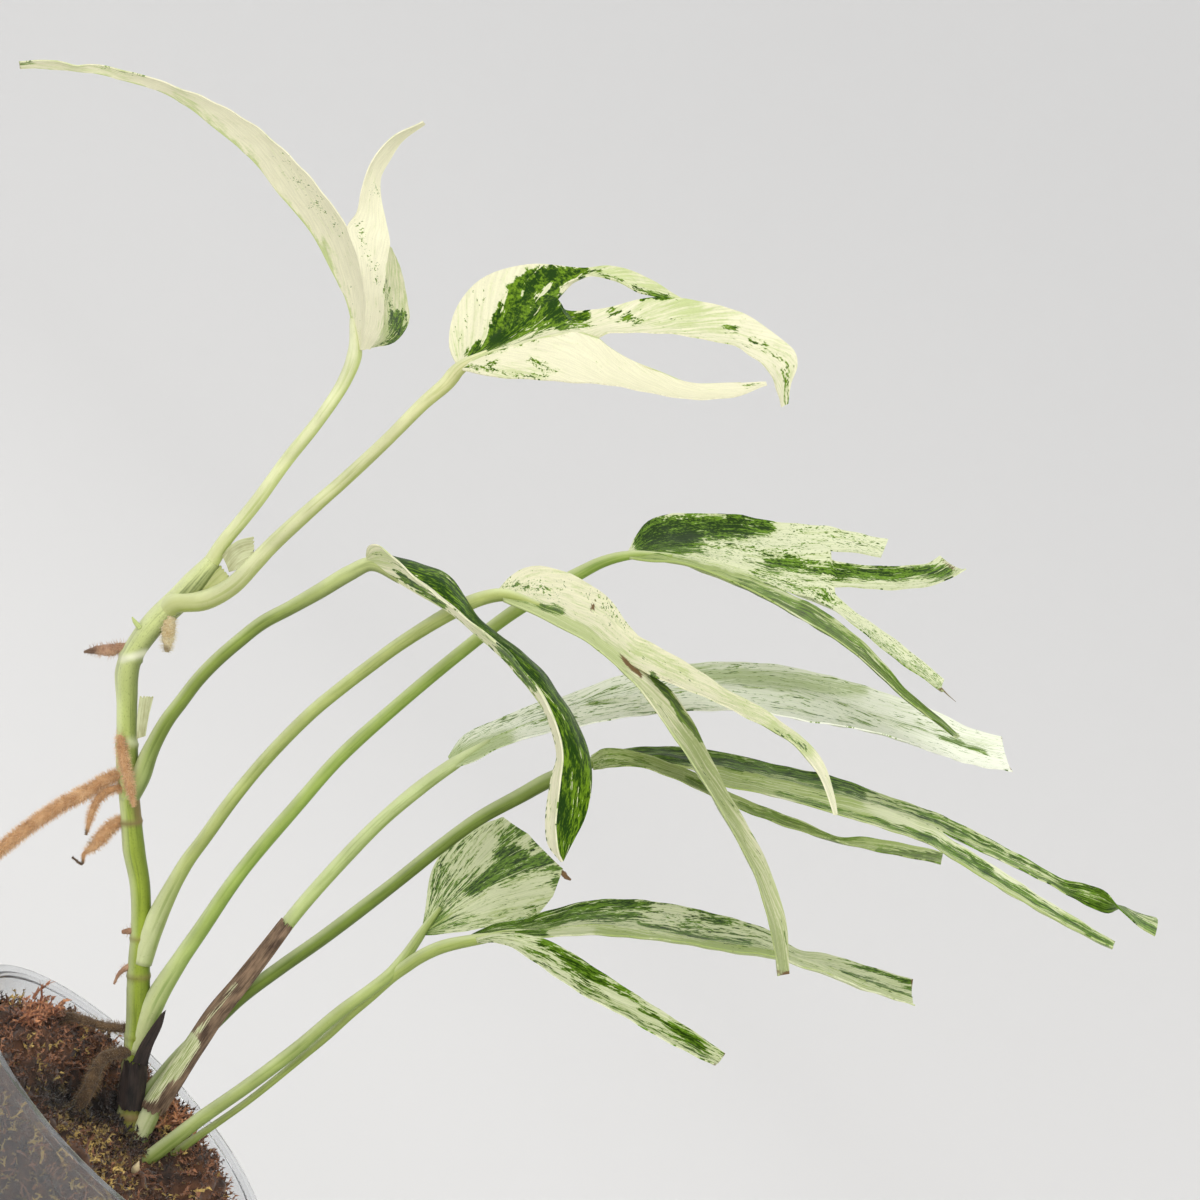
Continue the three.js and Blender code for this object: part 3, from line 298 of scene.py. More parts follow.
print("a UV unit is", CM / MM, "mm")

# %% [markdown]
# A stalk is such a sheet rolled up round a path: its two long edges are welded, and its ends are closed.
# Its angles are counted from the viewer's side, so that a groove or a shadow can be put where the
# photograph has it.
# %% Tubes
def blend(values, share):
    """Values that are spread evenly from 0 to 1, read off at any share between."""
    return np.interp(share, np.linspace(0, 1, len(values)), values)


def frames(path):
    """Directions ahead, towards the viewer and to the side at each point of a path."""
    ahead = np.gradient(path, axis=0)
    ahead /= np.linalg.norm(ahead, axis=1)[:, None]
    front = np.array(toward_viewer) - ahead * (ahead @ np.array(toward_viewer))[:, None]
    front /= np.linalg.norm(front, axis=1)[:, None]
    return ahead, front, np.cross(ahead, front)


def tube(name, path, radii, sides, shape=None):
    """A stalk along a path. Its angles are counted from the viewer's side, and its UV is in centimetres."""
    front, beside = frames(path)[1:]
    count = len(path)
    radius = blend(radii, np.linspace(0, 1, count)) * MM
    angle = np.linspace(-math.pi, math.pi, sides + 1)
    size = np.repeat(radius[:, None], sides + 1, axis=1)
    if shape is not None:
        size = shape(size, angle[None], np.linspace(0, 1, count)[:, None])
    size[:, -1] = size[:, 0]
    points = (
        path[:, None] + front[:, None] * (size * np.cos(angle))[..., None]
        + beside[:, None] * (size * np.sin(angle))[..., None]
    )
    girth = 2 * math.pi * radius.mean() / CM
    round_share = np.broadcast_to(angle / (2 * math.pi) * girth, size.shape)
    length = np.broadcast_to(along_of(path)[:, None] / CM, size.shape)
    piece, i, j = lay_sheet(name, points, np.stack([round_share, length], axis=-1))
    set_attribute(piece, "along", i / (count - 1))
    set_attribute(piece, "side", np.sin(angle)[j])
    in_edit_mode(piece, weld, close_ends, face_outwards)
    only(piece)
    bpy.ops.object.shade_smooth()
    return piece


sample_side = frames(smooth(SAMPLE_LINE))[2][0]
print("the side of the sample line points to", sample_side.round(2))

# %% [markdown]
# Hair and moss are thousands of copies of one small mesh, merged into a single piece. Its arrays are copied
# with numpy in a moment, where an operator would need minutes.
# %% Scattered copies
def scatter(name, model, matrices, rng):
    """Copies of a model's mesh, one for each 4x4 matrix, in a new piece."""
    source = model.data
    points = np.array([v.co for v in source.vertices])
    faces = [tuple(f.vertices) for f in source.polygons]
    matrices = np.asarray(matrices)
    turned = np.einsum("nij,vj->nvi", matrices[:, :3, :3], points) + matrices[:, None, :3, 3]
    count = len(points)
    mesh = bpy.data.meshes.new(name)
    all_faces = [tuple(k * count + v for v in face) for k in range(len(matrices)) for face in faces]
    mesh.from_pydata(turned.reshape(-1, 3), [], all_faces)
    mesh.update()
    piece = bpy.data.objects.new(name, mesh)
    bpy.context.collection.objects.link(piece)
    set_attribute(piece, "tint", np.repeat(rng.random(len(matrices)), count))
    return piece


def discard(*pieces):
    for piece in pieces:
        bpy.data.objects.remove(piece)


print("meshes so far:", len(bpy.data.meshes))

# %% [markdown]
# Materials are built from small named node groups. These helpers add a node, wire its inputs and hand back
# an output, so that each group reads as a list of steps.
# %% Node helpers
def wire(tree, socket, value):
    if isinstance(value, bpy.types.NodeSocket):
        tree.links.new(value, socket)
    else:
        socket.default_value = value


def math_node(tree, operation, *values):
    node = tree.nodes.new("ShaderNodeMath")
    node.operation = operation
    for socket, value in zip(node.inputs, values):
        wire(tree, socket, value)
    return node.outputs[0]


def mix_colours(tree, share, one, other):
    node = tree.nodes.new("ShaderNodeMix")
    node.data_type = "RGBA"
    wire(tree, node.inputs[0], share)
    wire(tree, node.inputs[6], one)
    wire(tree, node.inputs[7], other)
    return node.outputs[2]


def ramp(tree, value, low, high, low_out=0.0, high_out=1.0):
    """Maps low..high to low_out..high_out, eased at both ends."""
    node = tree.nodes.new("ShaderNodeMapRange")
    node.interpolation_type = "SMOOTHSTEP"
    for socket, number in zip(node.inputs, (value, low, high, low_out, high_out)):
        wire(tree, socket, number)
    return node.outputs[0]


def noise(tree, vector, stretch, shift=0.0, detail=2.0, roughness=0.5):
    """Noise with stretch features in each unit of the vector."""
    scaled = tree.nodes.new("ShaderNodeVectorMath")
    scaled.operation = "MULTIPLY_ADD"
    wire(tree, scaled.inputs[0], vector)
    scaled.inputs[1].default_value = stretch
    scaled.inputs[2].default_value = (shift, shift, shift)
    node = tree.nodes.new("ShaderNodeTexNoise")
    wire(tree, node.inputs["Vector"], scaled.outputs[0])
    node.inputs["Scale"].default_value = 1
    node.inputs["Detail"].default_value = detail
    node.inputs["Roughness"].default_value = roughness
    return node.outputs["Fac"]


def colour(red, green, blue):
    """A colour as it is read off a screen, 0 to 255, in the linear numbers that a node wants."""
    linear = []
    for value in (red, green, blue):
        share = value / 255
        linear.append(share / 12.92 if share <= 0.04045 else ((share + 0.055) / 1.055) ** 2.4)
    return (*linear, 1.0)


print("screen grey 128 is", round(colour(128, 128, 128)[0], 3), "in linear light")

# %% [markdown]
# A group gets named inputs and outputs once, and every material that shares the effect uses the same group.
# The shader itself stays in the material, with its constants set on its own sockets.
# %% Groups and materials
def new_group(name, inputs, outputs):
    """A node group. Inputs are (name, kind, default) and outputs (name, kind)."""
    group = bpy.data.node_groups.new(name, "ShaderNodeTree")
    for label, kind, default in inputs:
        socket = group.interface.new_socket(label, in_out="INPUT", socket_type="NodeSocket" + kind)
        if default is not None:
            socket.default_value = default
    for label, kind in outputs:
        group.interface.new_socket(label, in_out="OUTPUT", socket_type="NodeSocket" + kind)
    entry = group.nodes.new("NodeGroupInput")
    leave = group.nodes.new("NodeGroupOutput")
    return group, entry.outputs, leave.inputs


def use_group(tree, group, **values):
    node = tree.nodes.new("ShaderNodeGroup")
    node.node_tree = group
    for label, value in values.items():
        wire(tree, node.inputs[label.replace("_", " ")], value)
    return node.outputs


def new_material(name, roughness, **constants):
    material = bpy.data.materials.new(name)
    material.use_nodes = True
    shader = material.node_tree.nodes["Principled BSDF"]
    shader.inputs["Roughness"].default_value = roughness
    for label, value in constants.items():
        shader.inputs[label.replace("_", " ")].default_value = value
    return material, material.node_tree, shader


def attribute(tree, name):
    node = tree.nodes.new("ShaderNodeAttribute")
    node.attribute_name = name
    return node.outputs["Fac"]


def uv_of(tree):
    return tree.nodes.new("ShaderNodeTexCoord").outputs["UV"]


def space_of(tree):
    return tree.nodes.new("ShaderNodeTexCoord").outputs["Object"]


def bump(tree, height, strength, distance):
    node = tree.nodes.new("ShaderNodeBump")
    node.inputs["Strength"].default_value = strength
    node.inputs["Distance"].default_value = distance
    wire(tree, node.inputs["Height"], height)
    return node.outputs["Normal"]


def colour_and_bump(tree, shader, made, strength, distance=0.3 * MM):
    """Wires a group's colour and height to the shader."""
    wire(tree, shader.inputs["Base Color"], made["Color"])
    wire(tree, shader.inputs["Normal"], bump(tree, made["Height"], strength, distance))


print("node groups so far:", len(bpy.data.node_groups))

# %% [markdown]
# Variegation is cell lines without chlorophyll, drawn out along the veins while the leaf grew. So the
# pattern is noise in several sizes, stretched along the veins, and cut at a level.
# %% Variegation group
VEIN_NOISE = {
    "broad": ((1.6, 0.5, 1), 3.1, 2, 0.5),
    "streaks": ((6, 1.6, 1), 11.7, 3, 0.5),
    "cells": ((17, 7, 1), 27.3, 3, 0.6),
    "lines": ((24, 0.6, 1), 41.9, 2, 0.5),
    "fine": ((45, 16, 1), 71.3, 2, 0.5),
    "threads": ((13, 0.8, 1), 61.3, 3, 0.5),
    "inner": ((9, 1.1, 1), 83.7, 3, 0.6),
}
GREEN_EDGE = (0.47, 0.54)
SPECK_EDGE = (1.0, 1.06)
THREAD_EDGE = (0.6, 0.67)
HALO_EDGE = (0.28, 0.5)
SHADE_WASH_COLOUR = colour(120, 134, 76)
WITHERED_COLOUR = colour(112, 88, 58)

variegation, given, made = new_group(
    "variegation",
    [
        ("Vein Space", "Vector", None), ("Green", "Float", 0.5), ("Veil", "Float", 0.3),
        ("Specks", "Float", 0.2), ("Brown", "Float", 0.0), ("Wash", "Float", 0.0),
        ("Cream Colour", "Color", colour(226, 222, 186)), ("Veil Colour", "Color", colour(190, 202, 130)),
        ("Light Green", "Color", colour(122, 150, 40)), ("Dark Green", "Color", colour(38, 68, 4)),
    ],
    [("Color", "Color"), ("Green Mask", "Float"), ("Lines", "Float")],
)
tree = variegation
vein = {name: noise(tree, given["Vein Space"], *look) for name, look in VEIN_NOISE.items()}


def centred(value, amount, onto):
    """Adds a noise to a value, up or down by half the amount at most."""
    return math_node(tree, "MULTIPLY_ADD", math_node(tree, "SUBTRACT", value, 0.5), amount, onto)


level = centred(vein["broad"], 0.6, given["Green"])
level = centred(vein["cells"], 0.9, centred(vein["streaks"], 1.25, level))
level = math_node(tree, "SUBTRACT", level, ramp(tree, vein["threads"], *THREAD_EDGE, 0.0, 0.5))
specked = centred(vein["streaks"], 0.5, math_node(tree, "ADD", vein["cells"], given["Specks"]))
mask = math_node(tree, "MAXIMUM", ramp(tree, level, *GREEN_EDGE), ramp(tree, specked, *SPECK_EDGE))
veiled = centred(vein["cells"], 0.6, centred(vein["threads"], 1.8, given["Veil"]))
veiled = ramp(tree, centred(vein["fine"], 0.5, veiled), 0.15, 0.95)
veil = math_node(tree, "MAXIMUM", ramp(tree, level, *HALO_EDGE, 0.0, 0.6), veiled)
ground = mix_colours(tree, veil, given["Cream Colour"], given["Veil Colour"])
deep = centred(vein["fine"], 0.6, math_node(tree, "MULTIPLY", level, 0.55))
deep = centred(vein["cells"], 1.2, centred(vein["inner"], 1.6, deep))
green = mix_colours(tree, ramp(tree, deep, 0.1, 0.75), given["Light Green"], given["Dark Green"])
# Painted shade is laid on as an olive-grey wash, wherever a leaf's marks ask for it.
shade_wash_share = ramp(tree, centred(vein["fine"], 0.8, vein["threads"]), 0.3, 0.6, 0.45, 1.0)
shade_wash_share = math_node(tree, "MULTIPLY", given["Wash"], shade_wash_share)
surface = mix_colours(tree, shade_wash_share, mix_colours(tree, mask, ground, green), SHADE_WASH_COLOUR)
shaded = tree.nodes.new("ShaderNodeHueSaturation")
lines = centred(vein["fine"], 0.6, vein["lines"])
wire(tree, shaded.inputs["Value"], ramp(tree, lines, 0.25, 0.75, 0.92, 1.05))
wire(tree, shaded.inputs["Color"], surface)
dry = ramp(tree, math_node(tree, "MULTIPLY_ADD", vein["cells"], 0.8, given["Brown"]), 0.75, 1.0)
wire(tree, made["Color"], mix_colours(tree, dry, shaded.outputs[0], WITHERED_COLOUR))
wire(tree, made["Green Mask"], mask)
wire(tree, made["Lines"], centred(vein["fine"], 0.4, vein["lines"]))
print("variegation group:", len(tree.nodes), "nodes")

# %% [markdown]
# A leaf's upper face is smooth and waxy, and its under face is paler and duller. Both show the same
# streaks.
# %% Leaf materials
LEAF_KINDS = {
    "cream": {
        "cream": colour(231, 228, 196), "veil": colour(194, 205, 146),
        "light": colour(112, 148, 28), "dark": colour(30, 62, 0),
    },
    "pale": {
        "cream": colour(244, 247, 228), "veil": colour(190, 204, 152),
        "light": colour(126, 158, 62), "dark": colour(70, 102, 28),
    },
    "green": {
        "cream": colour(221, 225, 188), "veil": colour(168, 185, 112),
        "light": colour(108, 146, 38), "dark": colour(30, 56, 0),
    },
}
LEAF_FACES = {"upper": (0.42, 0.0), "under": (0.5, 0.05)}
PALE_LEVEL = 0.7


def paler(shade, share):
    return tuple(c + (PALE_LEVEL - c) * share for c in shade[:3]) + (1.0,)


def leaf_material(kind, face):
    shades = LEAF_KINDS[kind]
    roughness, pale = LEAF_FACES[face]
    material, tree, shader = new_material(f"{kind}_leaf_{face}", roughness, Specular_IOR_Level=0.1)
    streaked = use_group(
        tree, variegation, Vein_Space=uv_of(tree), Green=attribute(tree, "green"),
        Veil=attribute(tree, "veil"), Specks=attribute(tree, "specks"),
        Brown=attribute(tree, "brown"), Wash=attribute(tree, "wash"), Cream_Colour=shades["cream"],
        Veil_Colour=shades["veil"], Light_Green=paler(shades["light"], pale),
        Dark_Green=paler(shades["dark"], pale),
    )
    wire(tree, shader.inputs["Base Color"], streaked["Color"])
    wire(tree, shader.inputs["Normal"], bump(tree, streaked["Lines"], 0.3, 0.0003))
    gloss = math_node(tree, "MULTIPLY_ADD", streaked["Green Mask"], -0.06, roughness)
    wire(tree, shader.inputs["Roughness"], gloss)
    return material


leaf_materials = {kind: [leaf_material(kind, face) for face in LEAF_FACES] for kind in LEAF_KINDS}
print("leaf materials:", 2 * len(leaf_materials))

# %% [markdown]
# Where a leaf is green, veiled or brown is painted with soft strokes in the picture's own pixels. A stroke
# is a short line with a reach and an amount, and it fades out as an airbrush does.
# %% Painted strokes
STROKE_FALL = 2.4


def painted(points, base, strokes):
    """A value for each point. A stroke is (from x, from y, to x, to y, reach, amount)."""
    seen = pixels_of(points)
    value = np.full(points.shape[:-1], float(base))
    for x0, y0, x1, y1, reach, amount in strokes:
        start, run = np.array((x0, y0), float), np.array((x1 - x0, y1 - y0), float)
        share = np.clip((seen - start) @ run / max(run @ run, 1), 0, 1)
        distance = np.linalg.norm(seen - start - share[..., None] * run, axis=-1)
        value += amount * np.exp(-((distance / reach) ** STROKE_FALL))
    return value


stroke_check = painted(np.array([[0, 0, POT_HEIGHT]]), 0, [(*VIEW_RIM_CENTRE, *VIEW_RIM_CENTRE, 8, 1)])
print("a stroke over the middle of the rim gives", round(float(stroke_check[0]), 2))

# %% [markdown]
# A blade is drawn as strips, each between two rails, and neighbouring strips share a rail. Every strip
# arches a little, as a leaf does between its ribs.
# %% Blade sheets
ROWS = 10


def arched(a, b, rows, arch):
    """Points between two rails, raised in the middle, with the widths and the shares across."""
    share = np.linspace(0, 1, rows + 1)
    across = b - a
    width = np.linalg.norm(across, axis=1)
    lift = np.cross(np.gradient((a + b) / 2, axis=0), across)
    lift /= np.linalg.norm(lift, axis=1)[:, None] + 1e-12
    rise = (arch * width)[:, None] * (4 * share * (1 - share))[None]
    points = a[:, None] + across[:, None] * share[None, :, None] + lift[:, None] * rise[..., None]
    return points, width, share


def strip_sheets(name, strips, steps, arch, rib, shift, flows, slant, grain):
    """One sheet for each strip, with its vein space as UV. The midrib is the rail before strip rib."""
    laid = []
    for left, right in strips:
        a, b = rail(left, steps), rail(right, steps)
        points, width, share = arched(a, b, ROWS, arch)
        along = along_of(a)[:, None] * (1 - share) + along_of(b)[:, None] * share
        laid.append((points, width, along))
    sheets = []
    for k, (points, width, along) in enumerate(laid):
        between = laid[rib:k] if k >= rib else laid[k + 1:rib]
        offset = sum(w.mean() for _, w, _ in between)
        width = width.mean()
        if k >= rib:
            beside = offset + width * share
            vein = beside - slant * along
        else:
            beside = offset + width * (1 - share)
            vein = slant * along - beside
        uv = np.stack([grain * vein / CM + shift, grain * flows[k] * along / CM + shift], axis=-1)
        sheet, i, j = lay_sheet(f"{name}_strip", points, uv)
        set_attribute(sheet, "vein", (vein / CM)[i, j])
        set_attribute(sheet, "along", (along / CM)[i, j])
        sheets.append((sheet, points, i, j))
    return sheets


print("points across a strip:", ROWS + 1)

# %% [markdown]
# No flat drawing shows the slow ripples of a leaf and the shallow valleys over its side veins. These
# helpers read a mesh, find a slow wave in space and push the points out along their normals.
# %% Relief
RIPPLE = 0.3 * MM
RIPPLE_LENGTHS = (11 * MM, 17 * MM, 7 * MM)


def read_attribute(piece, name):
    values = np.empty(len(piece.data.vertices), np.float32)
    piece.data.attributes[name].data.foreach_get("value", values)
    return values


def read_points(piece, what="co"):
    flat = np.empty(len(piece.data.vertices) * 3, np.float32)
    source = piece.data.vertices if what == "co" else piece.data.vertex_normals
    source.foreach_get("co" if what == "co" else "vector", flat)
    return flat.reshape(-1, 3).astype(float)


def push_out(piece, height):
    """Moves every point along its normal."""
    points = read_points(piece) + read_points(piece, "normals") * np.asarray(height)[:, None]
    piece.data.vertices.foreach_set("co", points.astype(np.float32).ravel())
    piece.data.update()


def ripples(points, lengths, seed=0.0):
    """A slow wave in space, between -1 and 1."""
    x, y, z = points.T
    waves = [
        np.sin(2 * math.pi * (x + 0.6 * z) / lengths[0] + 1.3 + seed),
        np.sin(2 * math.pi * (z - 0.5 * y) / lengths[1] + 0.4 + 2 * seed),
        np.sin(2 * math.pi * (y + 0.7 * x - 0.3 * z) / lengths[2] + 2.1 + 3 * seed),
    ]
    return sum(waves) / len(waves)


print("the ripples are", RIPPLE / MM, "mm high and up to", round(max(RIPPLE_LENGTHS) / MM), "mm long")

# %% [markdown]
# The strips are welded along the rails that they share, and the sheet gets its relief and its thickness.
# Solidify gives the far face its own material, because the two faces of a leaf differ.
# %% Blade from its strips
BLADE_THICKNESS = 0.4 * MM
# The last mark is painted shade, an olive-grey wash for fingers and lobes that lie in shade.
LEAF_MARKS = {"green": 0.1, "veil": 0.3, "specks": 0.25, "brown": 0.0, "wash": 0.0}
RIB_MARKS = {"veil": 0.7, "green": -0.2}
RIB_SHARE = 0.9
RIB_STEPS = 90
RIB_SIDES = 10
VEIN_SPACING = 0.45
VEIN_DEPTH = 0.07 * MM
CREASE_ANGLE = math.radians(50)


def mark_leaf(sheet, points, order, marks, own):
    """Paints all the marks of a leaf. A mark is (its usual value, strokes)."""
    for mark, usual in LEAF_MARKS.items():
        base, strokes = marks.get(mark, (usual, ()))
        set_attribute(sheet, mark, painted(points, own.get(mark, base), strokes)[order])


def grow_blade(name, kind, strips, steps, marks, arch, seen, shift, flow, slant, grain,
               rib=1, rib_radii=(0.4, 0.15)):
    """A blade of strips. Each strip is (left rail, right rail, marks that differ from the leaf's)."""
    flows = [own.get("flow", flow) for _, _, own in strips]
    sheets = strip_sheets(name, [s[:2] for s in strips], steps, arch, rib, shift, flows, slant, grain)
    for (sheet, points, i, j), (_, _, own) in zip(sheets, strips):
        mark_leaf(sheet, points, (i, j), marks, own)
    piece = join(name, [sheet for sheet, *_ in sheets])
    in_edit_mode(piece, weld)
    upper, under = leaf_materials[kind]
    for material in (upper, under) if seen == "upper" else (under, upper):
        piece.data.materials.append(material)
    veins = np.abs(np.sin(math.pi * read_attribute(piece, "vein") / VEIN_SPACING))
    wave = RIPPLE * ripples(read_points(piece), RIPPLE_LENGTHS, shift)
    push_out(piece, wave + VEIN_DEPTH * (veins - 0.5))
    finish_with(piece, "SOLIDIFY", thickness=BLADE_THICKNESS, offset=0, material_offset=1)
    only(piece)
    bpy.ops.object.shade_smooth_by_angle(angle=CREASE_ANGLE)
    if rib_radii:
        path = rail(strips[rib][0] if rib < len(strips) else strips[-1][1], steps)
        inner_part = path[: int(len(path) * RIB_SHARE)]
        ribbed = tube(f"{name}_rib", even(inner_part, RIB_STEPS), rib_radii, RIB_SIDES)
        mark_leaf(ribbed, read_points(ribbed), slice(None), marks, RIB_MARKS)
        ribbed.data.materials.append(piece.data.materials[0])
        piece = join(name, [piece, ribbed])
    return piece


print("a blade is", round(BLADE_THICKNESS / MM, 2), "mm thick")

# %% [markdown]
# Every finished piece rides on the plant's one body and stands for a node of the imported model, whose own
# part is hidden.
# %% Dressing
def dress(piece, node, slot, *materials):
    """Gives a piece its materials, its body and the node that it stands for. The slot is not used."""
    if materials:
        piece.data.materials.clear()
        for material in materials:
            piece.data.materials.append(material)
    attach(piece, "root")
    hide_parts(node)
    piece.data.update()
    print(piece.name, len(piece.data.polygons), "faces")


print("nodes to dress:", len(frame["nodes"]))

# %% [markdown]
# A petiole is a smooth stalk whose colour runs from the foot to the blade, with thin darker lines along it.
# A rib is drawn as a stalk too, but it takes the colours of its blade.
# %% Stalk colours
FOOT_FADE = (0.03, 0.22)
BLADE_FADE = (0.5, 1.0)
LINE_NOISE = ((9, 0.35, 1), 7.1, 3)
SPECK_NOISE = ((34, 12, 1), 19.9, 2)
TONE_NOISE = ((1.5, 0.8, 1), 33.3, 3)
LIT_SIDE_COLOUR = colour(228, 234, 190)
PALE_PLACE_COLOUR = colour(226, 228, 196)

stalk_lines, given, made = new_group(
    "stalk_lines",
    [
        ("Stalk Space", "Vector", None), ("Along", "Float", 0.5), ("Side", "Float", 0.0),
        ("Foot Colour", "Color", colour(180, 190, 120)), ("Middle Colour", "Color", colour(190, 200, 130)),
        ("Blade End Colour", "Color", colour(200, 210, 140)), ("Line Colour", "Color", colour(90, 120, 40)),
        ("Line Amount", "Float", 0.4), ("Speckle Amount", "Float", 0.4),
        ("Scar", "Float", 0.0), ("Scar Colour", "Color", colour(128, 110, 70)), ("Pale", "Float", 0.0),
    ],
    [("Color", "Color"), ("Height", "Float")],
)
tree = stalk_lines
space, along, side, dark = (given[name] for name in ("Stalk Space", "Along", "Side", "Line Colour"))
lower = mix_colours(tree, ramp(tree, along, *FOOT_FADE), given["Foot Colour"], given["Middle Colour"])
whole = mix_colours(tree, ramp(tree, along, *BLADE_FADE), lower, given["Blade End Colour"])
long_lines = noise(tree, space, *LINE_NOISE)
line_mask = ramp(tree, math_node(tree, "ADD", long_lines, given["Line Amount"]), 0.9, 1.15)
lined = mix_colours(tree, math_node(tree, "MULTIPLY", line_mask, 0.7), whole, dark)
specks = noise(tree, space, *SPECK_NOISE)
speck_mask = ramp(tree, math_node(tree, "ADD", specks, given["Speckle Amount"]), 1.0, 1.2)
speckled = mix_colours(tree, math_node(tree, "MULTIPLY", speck_mask, 0.5), lined, dark)
# One side of every stalk is darkened towards the line colour as painted shade, and the other side is
# lightened as a painted highlight.
shaded_and_highlighted = mix_colours(tree, ramp(tree, side, 0.05, 0.95, 0.0, 0.62), speckled, dark)
shaded_and_highlighted = mix_colours(tree, ramp(tree, side, -0.9, 0.0, 0.5, 0.0), shaded_and_highlighted, LIT_SIDE_COLOUR)
scarred = mix_colours(tree, given["Scar"], shaded_and_highlighted, given["Scar Colour"])
paled = mix_colours(tree, given["Pale"], scarred, PALE_PLACE_COLOUR)
toned = tree.nodes.new("ShaderNodeHueSaturation")
wire(tree, toned.inputs["Value"], ramp(tree, noise(tree, space, *TONE_NOISE), 0.3, 0.7, 0.88, 1.08))
wire(tree, toned.inputs["Color"], paled)
wire(tree, made["Color"], toned.outputs[0])
wire(tree, made["Height"], math_node(tree, "ADD", long_lines, math_node(tree, "MULTIPLY", specks, 0.3)))
print("stalk group:", len(tree.nodes), "nodes")

# %% [markdown]
# A petiole is a little grooved on its upper side, with a swollen joint under the blade and a clasping foot.
# Joint and foot are only larger radii, so a list of radii along the stalk draws them.
# %% Petiole
PETIOLE_SIDES = 20
PETIOLE_STEPS = 110
STALK_ROUGHNESS = 0.42
GROOVE_DEPTH = 0.05
GROOVE_ANGLE = 2.2
GROOVE_WIDTH = 0.5


def stalk_material(name, foot, middle, blade_end, line, speckles=0.4):
    """A waxy stalk in four colours. The speckles are the share of dark specks between its lines."""
    material, tree, shader = new_material(name, STALK_ROUGHNESS, Specular_IOR_Level=0.25)
    made = use_group(
        tree, stalk_lines, Stalk_Space=uv_of(tree), Along=attribute(tree, "along"),
        Side=attribute(tree, "side"), Scar=attribute(tree, "scar_and_shade"), Pale=attribute(tree, "pale"),
        Foot_Colour=colour(*foot), Middle_Colour=colour(*middle), Blade_End_Colour=colour(*blade_end),
        Line_Colour=colour(*line), Line_Amount=0.4, Speckle_Amount=speckles,
    )
    colour_and_bump(tree, shader, made, 0.12)
    return material


def petiole_shape(size, angle, share):
    """A stalk's radius with a groove, which fades out towards the foot."""
    groove = GROOVE_DEPTH * np.exp(-(((angle - GROOVE_ANGLE) / GROOVE_WIDTH) ** 2))
    return size * (1 - groove * np.clip(share * 4, 0, 1))


def grow_petiole(node, drawn, radii, slot, foot, middle, blade_end, line):
    """A petiole through drawn points, with radii in millimetres and the colours along it."""
    path = even(smooth(drawn), PETIOLE_STEPS)
    stalk = tube(f"{node}_petiole", path, radii, PETIOLE_SIDES, petiole_shape)
    dress(stalk, node, slot, stalk_material(f"{node}_stalk", foot, middle, blade_end, line))
    return stalk


print("a petiole has", PETIOLE_SIDES, "sides and", PETIOLE_STEPS, "steps")

# %% [markdown]
# Leaf a stands at the top of the picture and is seen from below. It has a long tail to the left and a short
# horn to the right.
# %% Leaf a, drawn lines
A_FAR = [(360, 349, -2), (368, 322, -14), (366, 290, -20), (352, 258, -22), (338, 236, -22)]
A_FAR_TAIL = [(300, 190, -16), (252, 140, -10), (205, 104, -4), (150, 83, 4), (96, 71, 11), (30, 66, 18)]
A_RIB = [(356, 351, 0), (352, 320, 0), (345, 295, 0), (333, 272, 0), (322, 250, 1)]
A_RIB_TAIL = [
    (310, 230, 2), (292, 208, 3), (277, 191, 4), (260, 168, 6), (240, 148, 8), (215, 128, 10),
    (190, 108, 12), (160, 91, 14), (130, 82, 16), (100, 74, 18), (70, 70, 20), (20, 68, 22),
]
A_SPLIT = [(362, 350, 2), (366, 320, 8), (364, 285, 12), (357, 255, 14), (347, 228, 14)]
A_TAIL_TOP = [
    (330, 203, 14), (305, 172, 14), (280, 147, 14), (255, 126, 14), (210, 100, 16), (180, 88, 17),
    (150, 77, 18), (120, 70, 19), (90, 64, 20), (75, 66, 22), (55, 60, 23), (19, 62, 24),
]
A_HORN_LEFT = [
    (357, 212, 13), (361, 190, 10), (368, 167, 6), (378, 151, 2), (395, 136, -3), (423, 121, -9),
]
A_FOLD = [(370, 349, 3), (382, 332, 10), (384, 300, 14), (386, 270, 15), (390, 245, 14)]
A_HORN_RIGHT = [
    (386, 222, 7), (381, 195, 2), (381, 177, -2), (390, 160, -6), (402, 142, -10), (425, 124, -13),
]
A_BACK = [(372, 348, -2), (395, 341, -7), (408, 322, -10), (406, 295, -7), (400, 268, 0), (392, 248, 10)]
A_PETIOLE = [
    (209, 566, 1), (224, 542, 1), (242, 520, 1), (258, 500, 1), (287, 460, 0), (319, 420, 0), (345, 380, 0),
    (355, 352, 0), (353, 318, 0),
]
A_PETIOLE_RADII = [2.5, 2.1, 2.1, 2, 2, 1.9, 2, 2.3, 1]

print("leaf a: its rib's rail is", rail_length((A_RIB, A_RIB_TAIL)), "mm long")

# %% [markdown]
# The blade divides above its middle, so one plain sheet can't follow it. It is laid in four strips that
# share rails, and tail and horn part where their rails part.
# %% Leaf a
A_MARKS = {
    "green": (0.02, [
        (386, 280, 388, 302, 5, 0.5), (396, 316, 396, 338, 10, 0.9), (376, 348, 392, 345, 5, 0.5),
        (20, 62, 32, 62, 4, 0.5), (90, 64, 150, 77, 3, 0.35),
    ]),
    "specks": (0.22, [
        (283, 158, 340, 232, 10, 0.16), (360, 226, 364, 252, 8, 0.2), (375, 184, 376, 192, 6, 0.2),
        (372, 262, 378, 282, 7, 0.2), (352, 290, 358, 330, 8, 0.1),
    ]),
    "veil": (0.05, [
        (20, 62, 120, 72, 14, 0.4), (180, 97, 250, 165, 11, 0.55), (322, 245, 350, 340, 9, 0.6),
        (395, 330, 395, 345, 14, 0.6),
    ]),
    "brown": (0, [(18, 60, 20, 70, 3, 0.5)]),
}
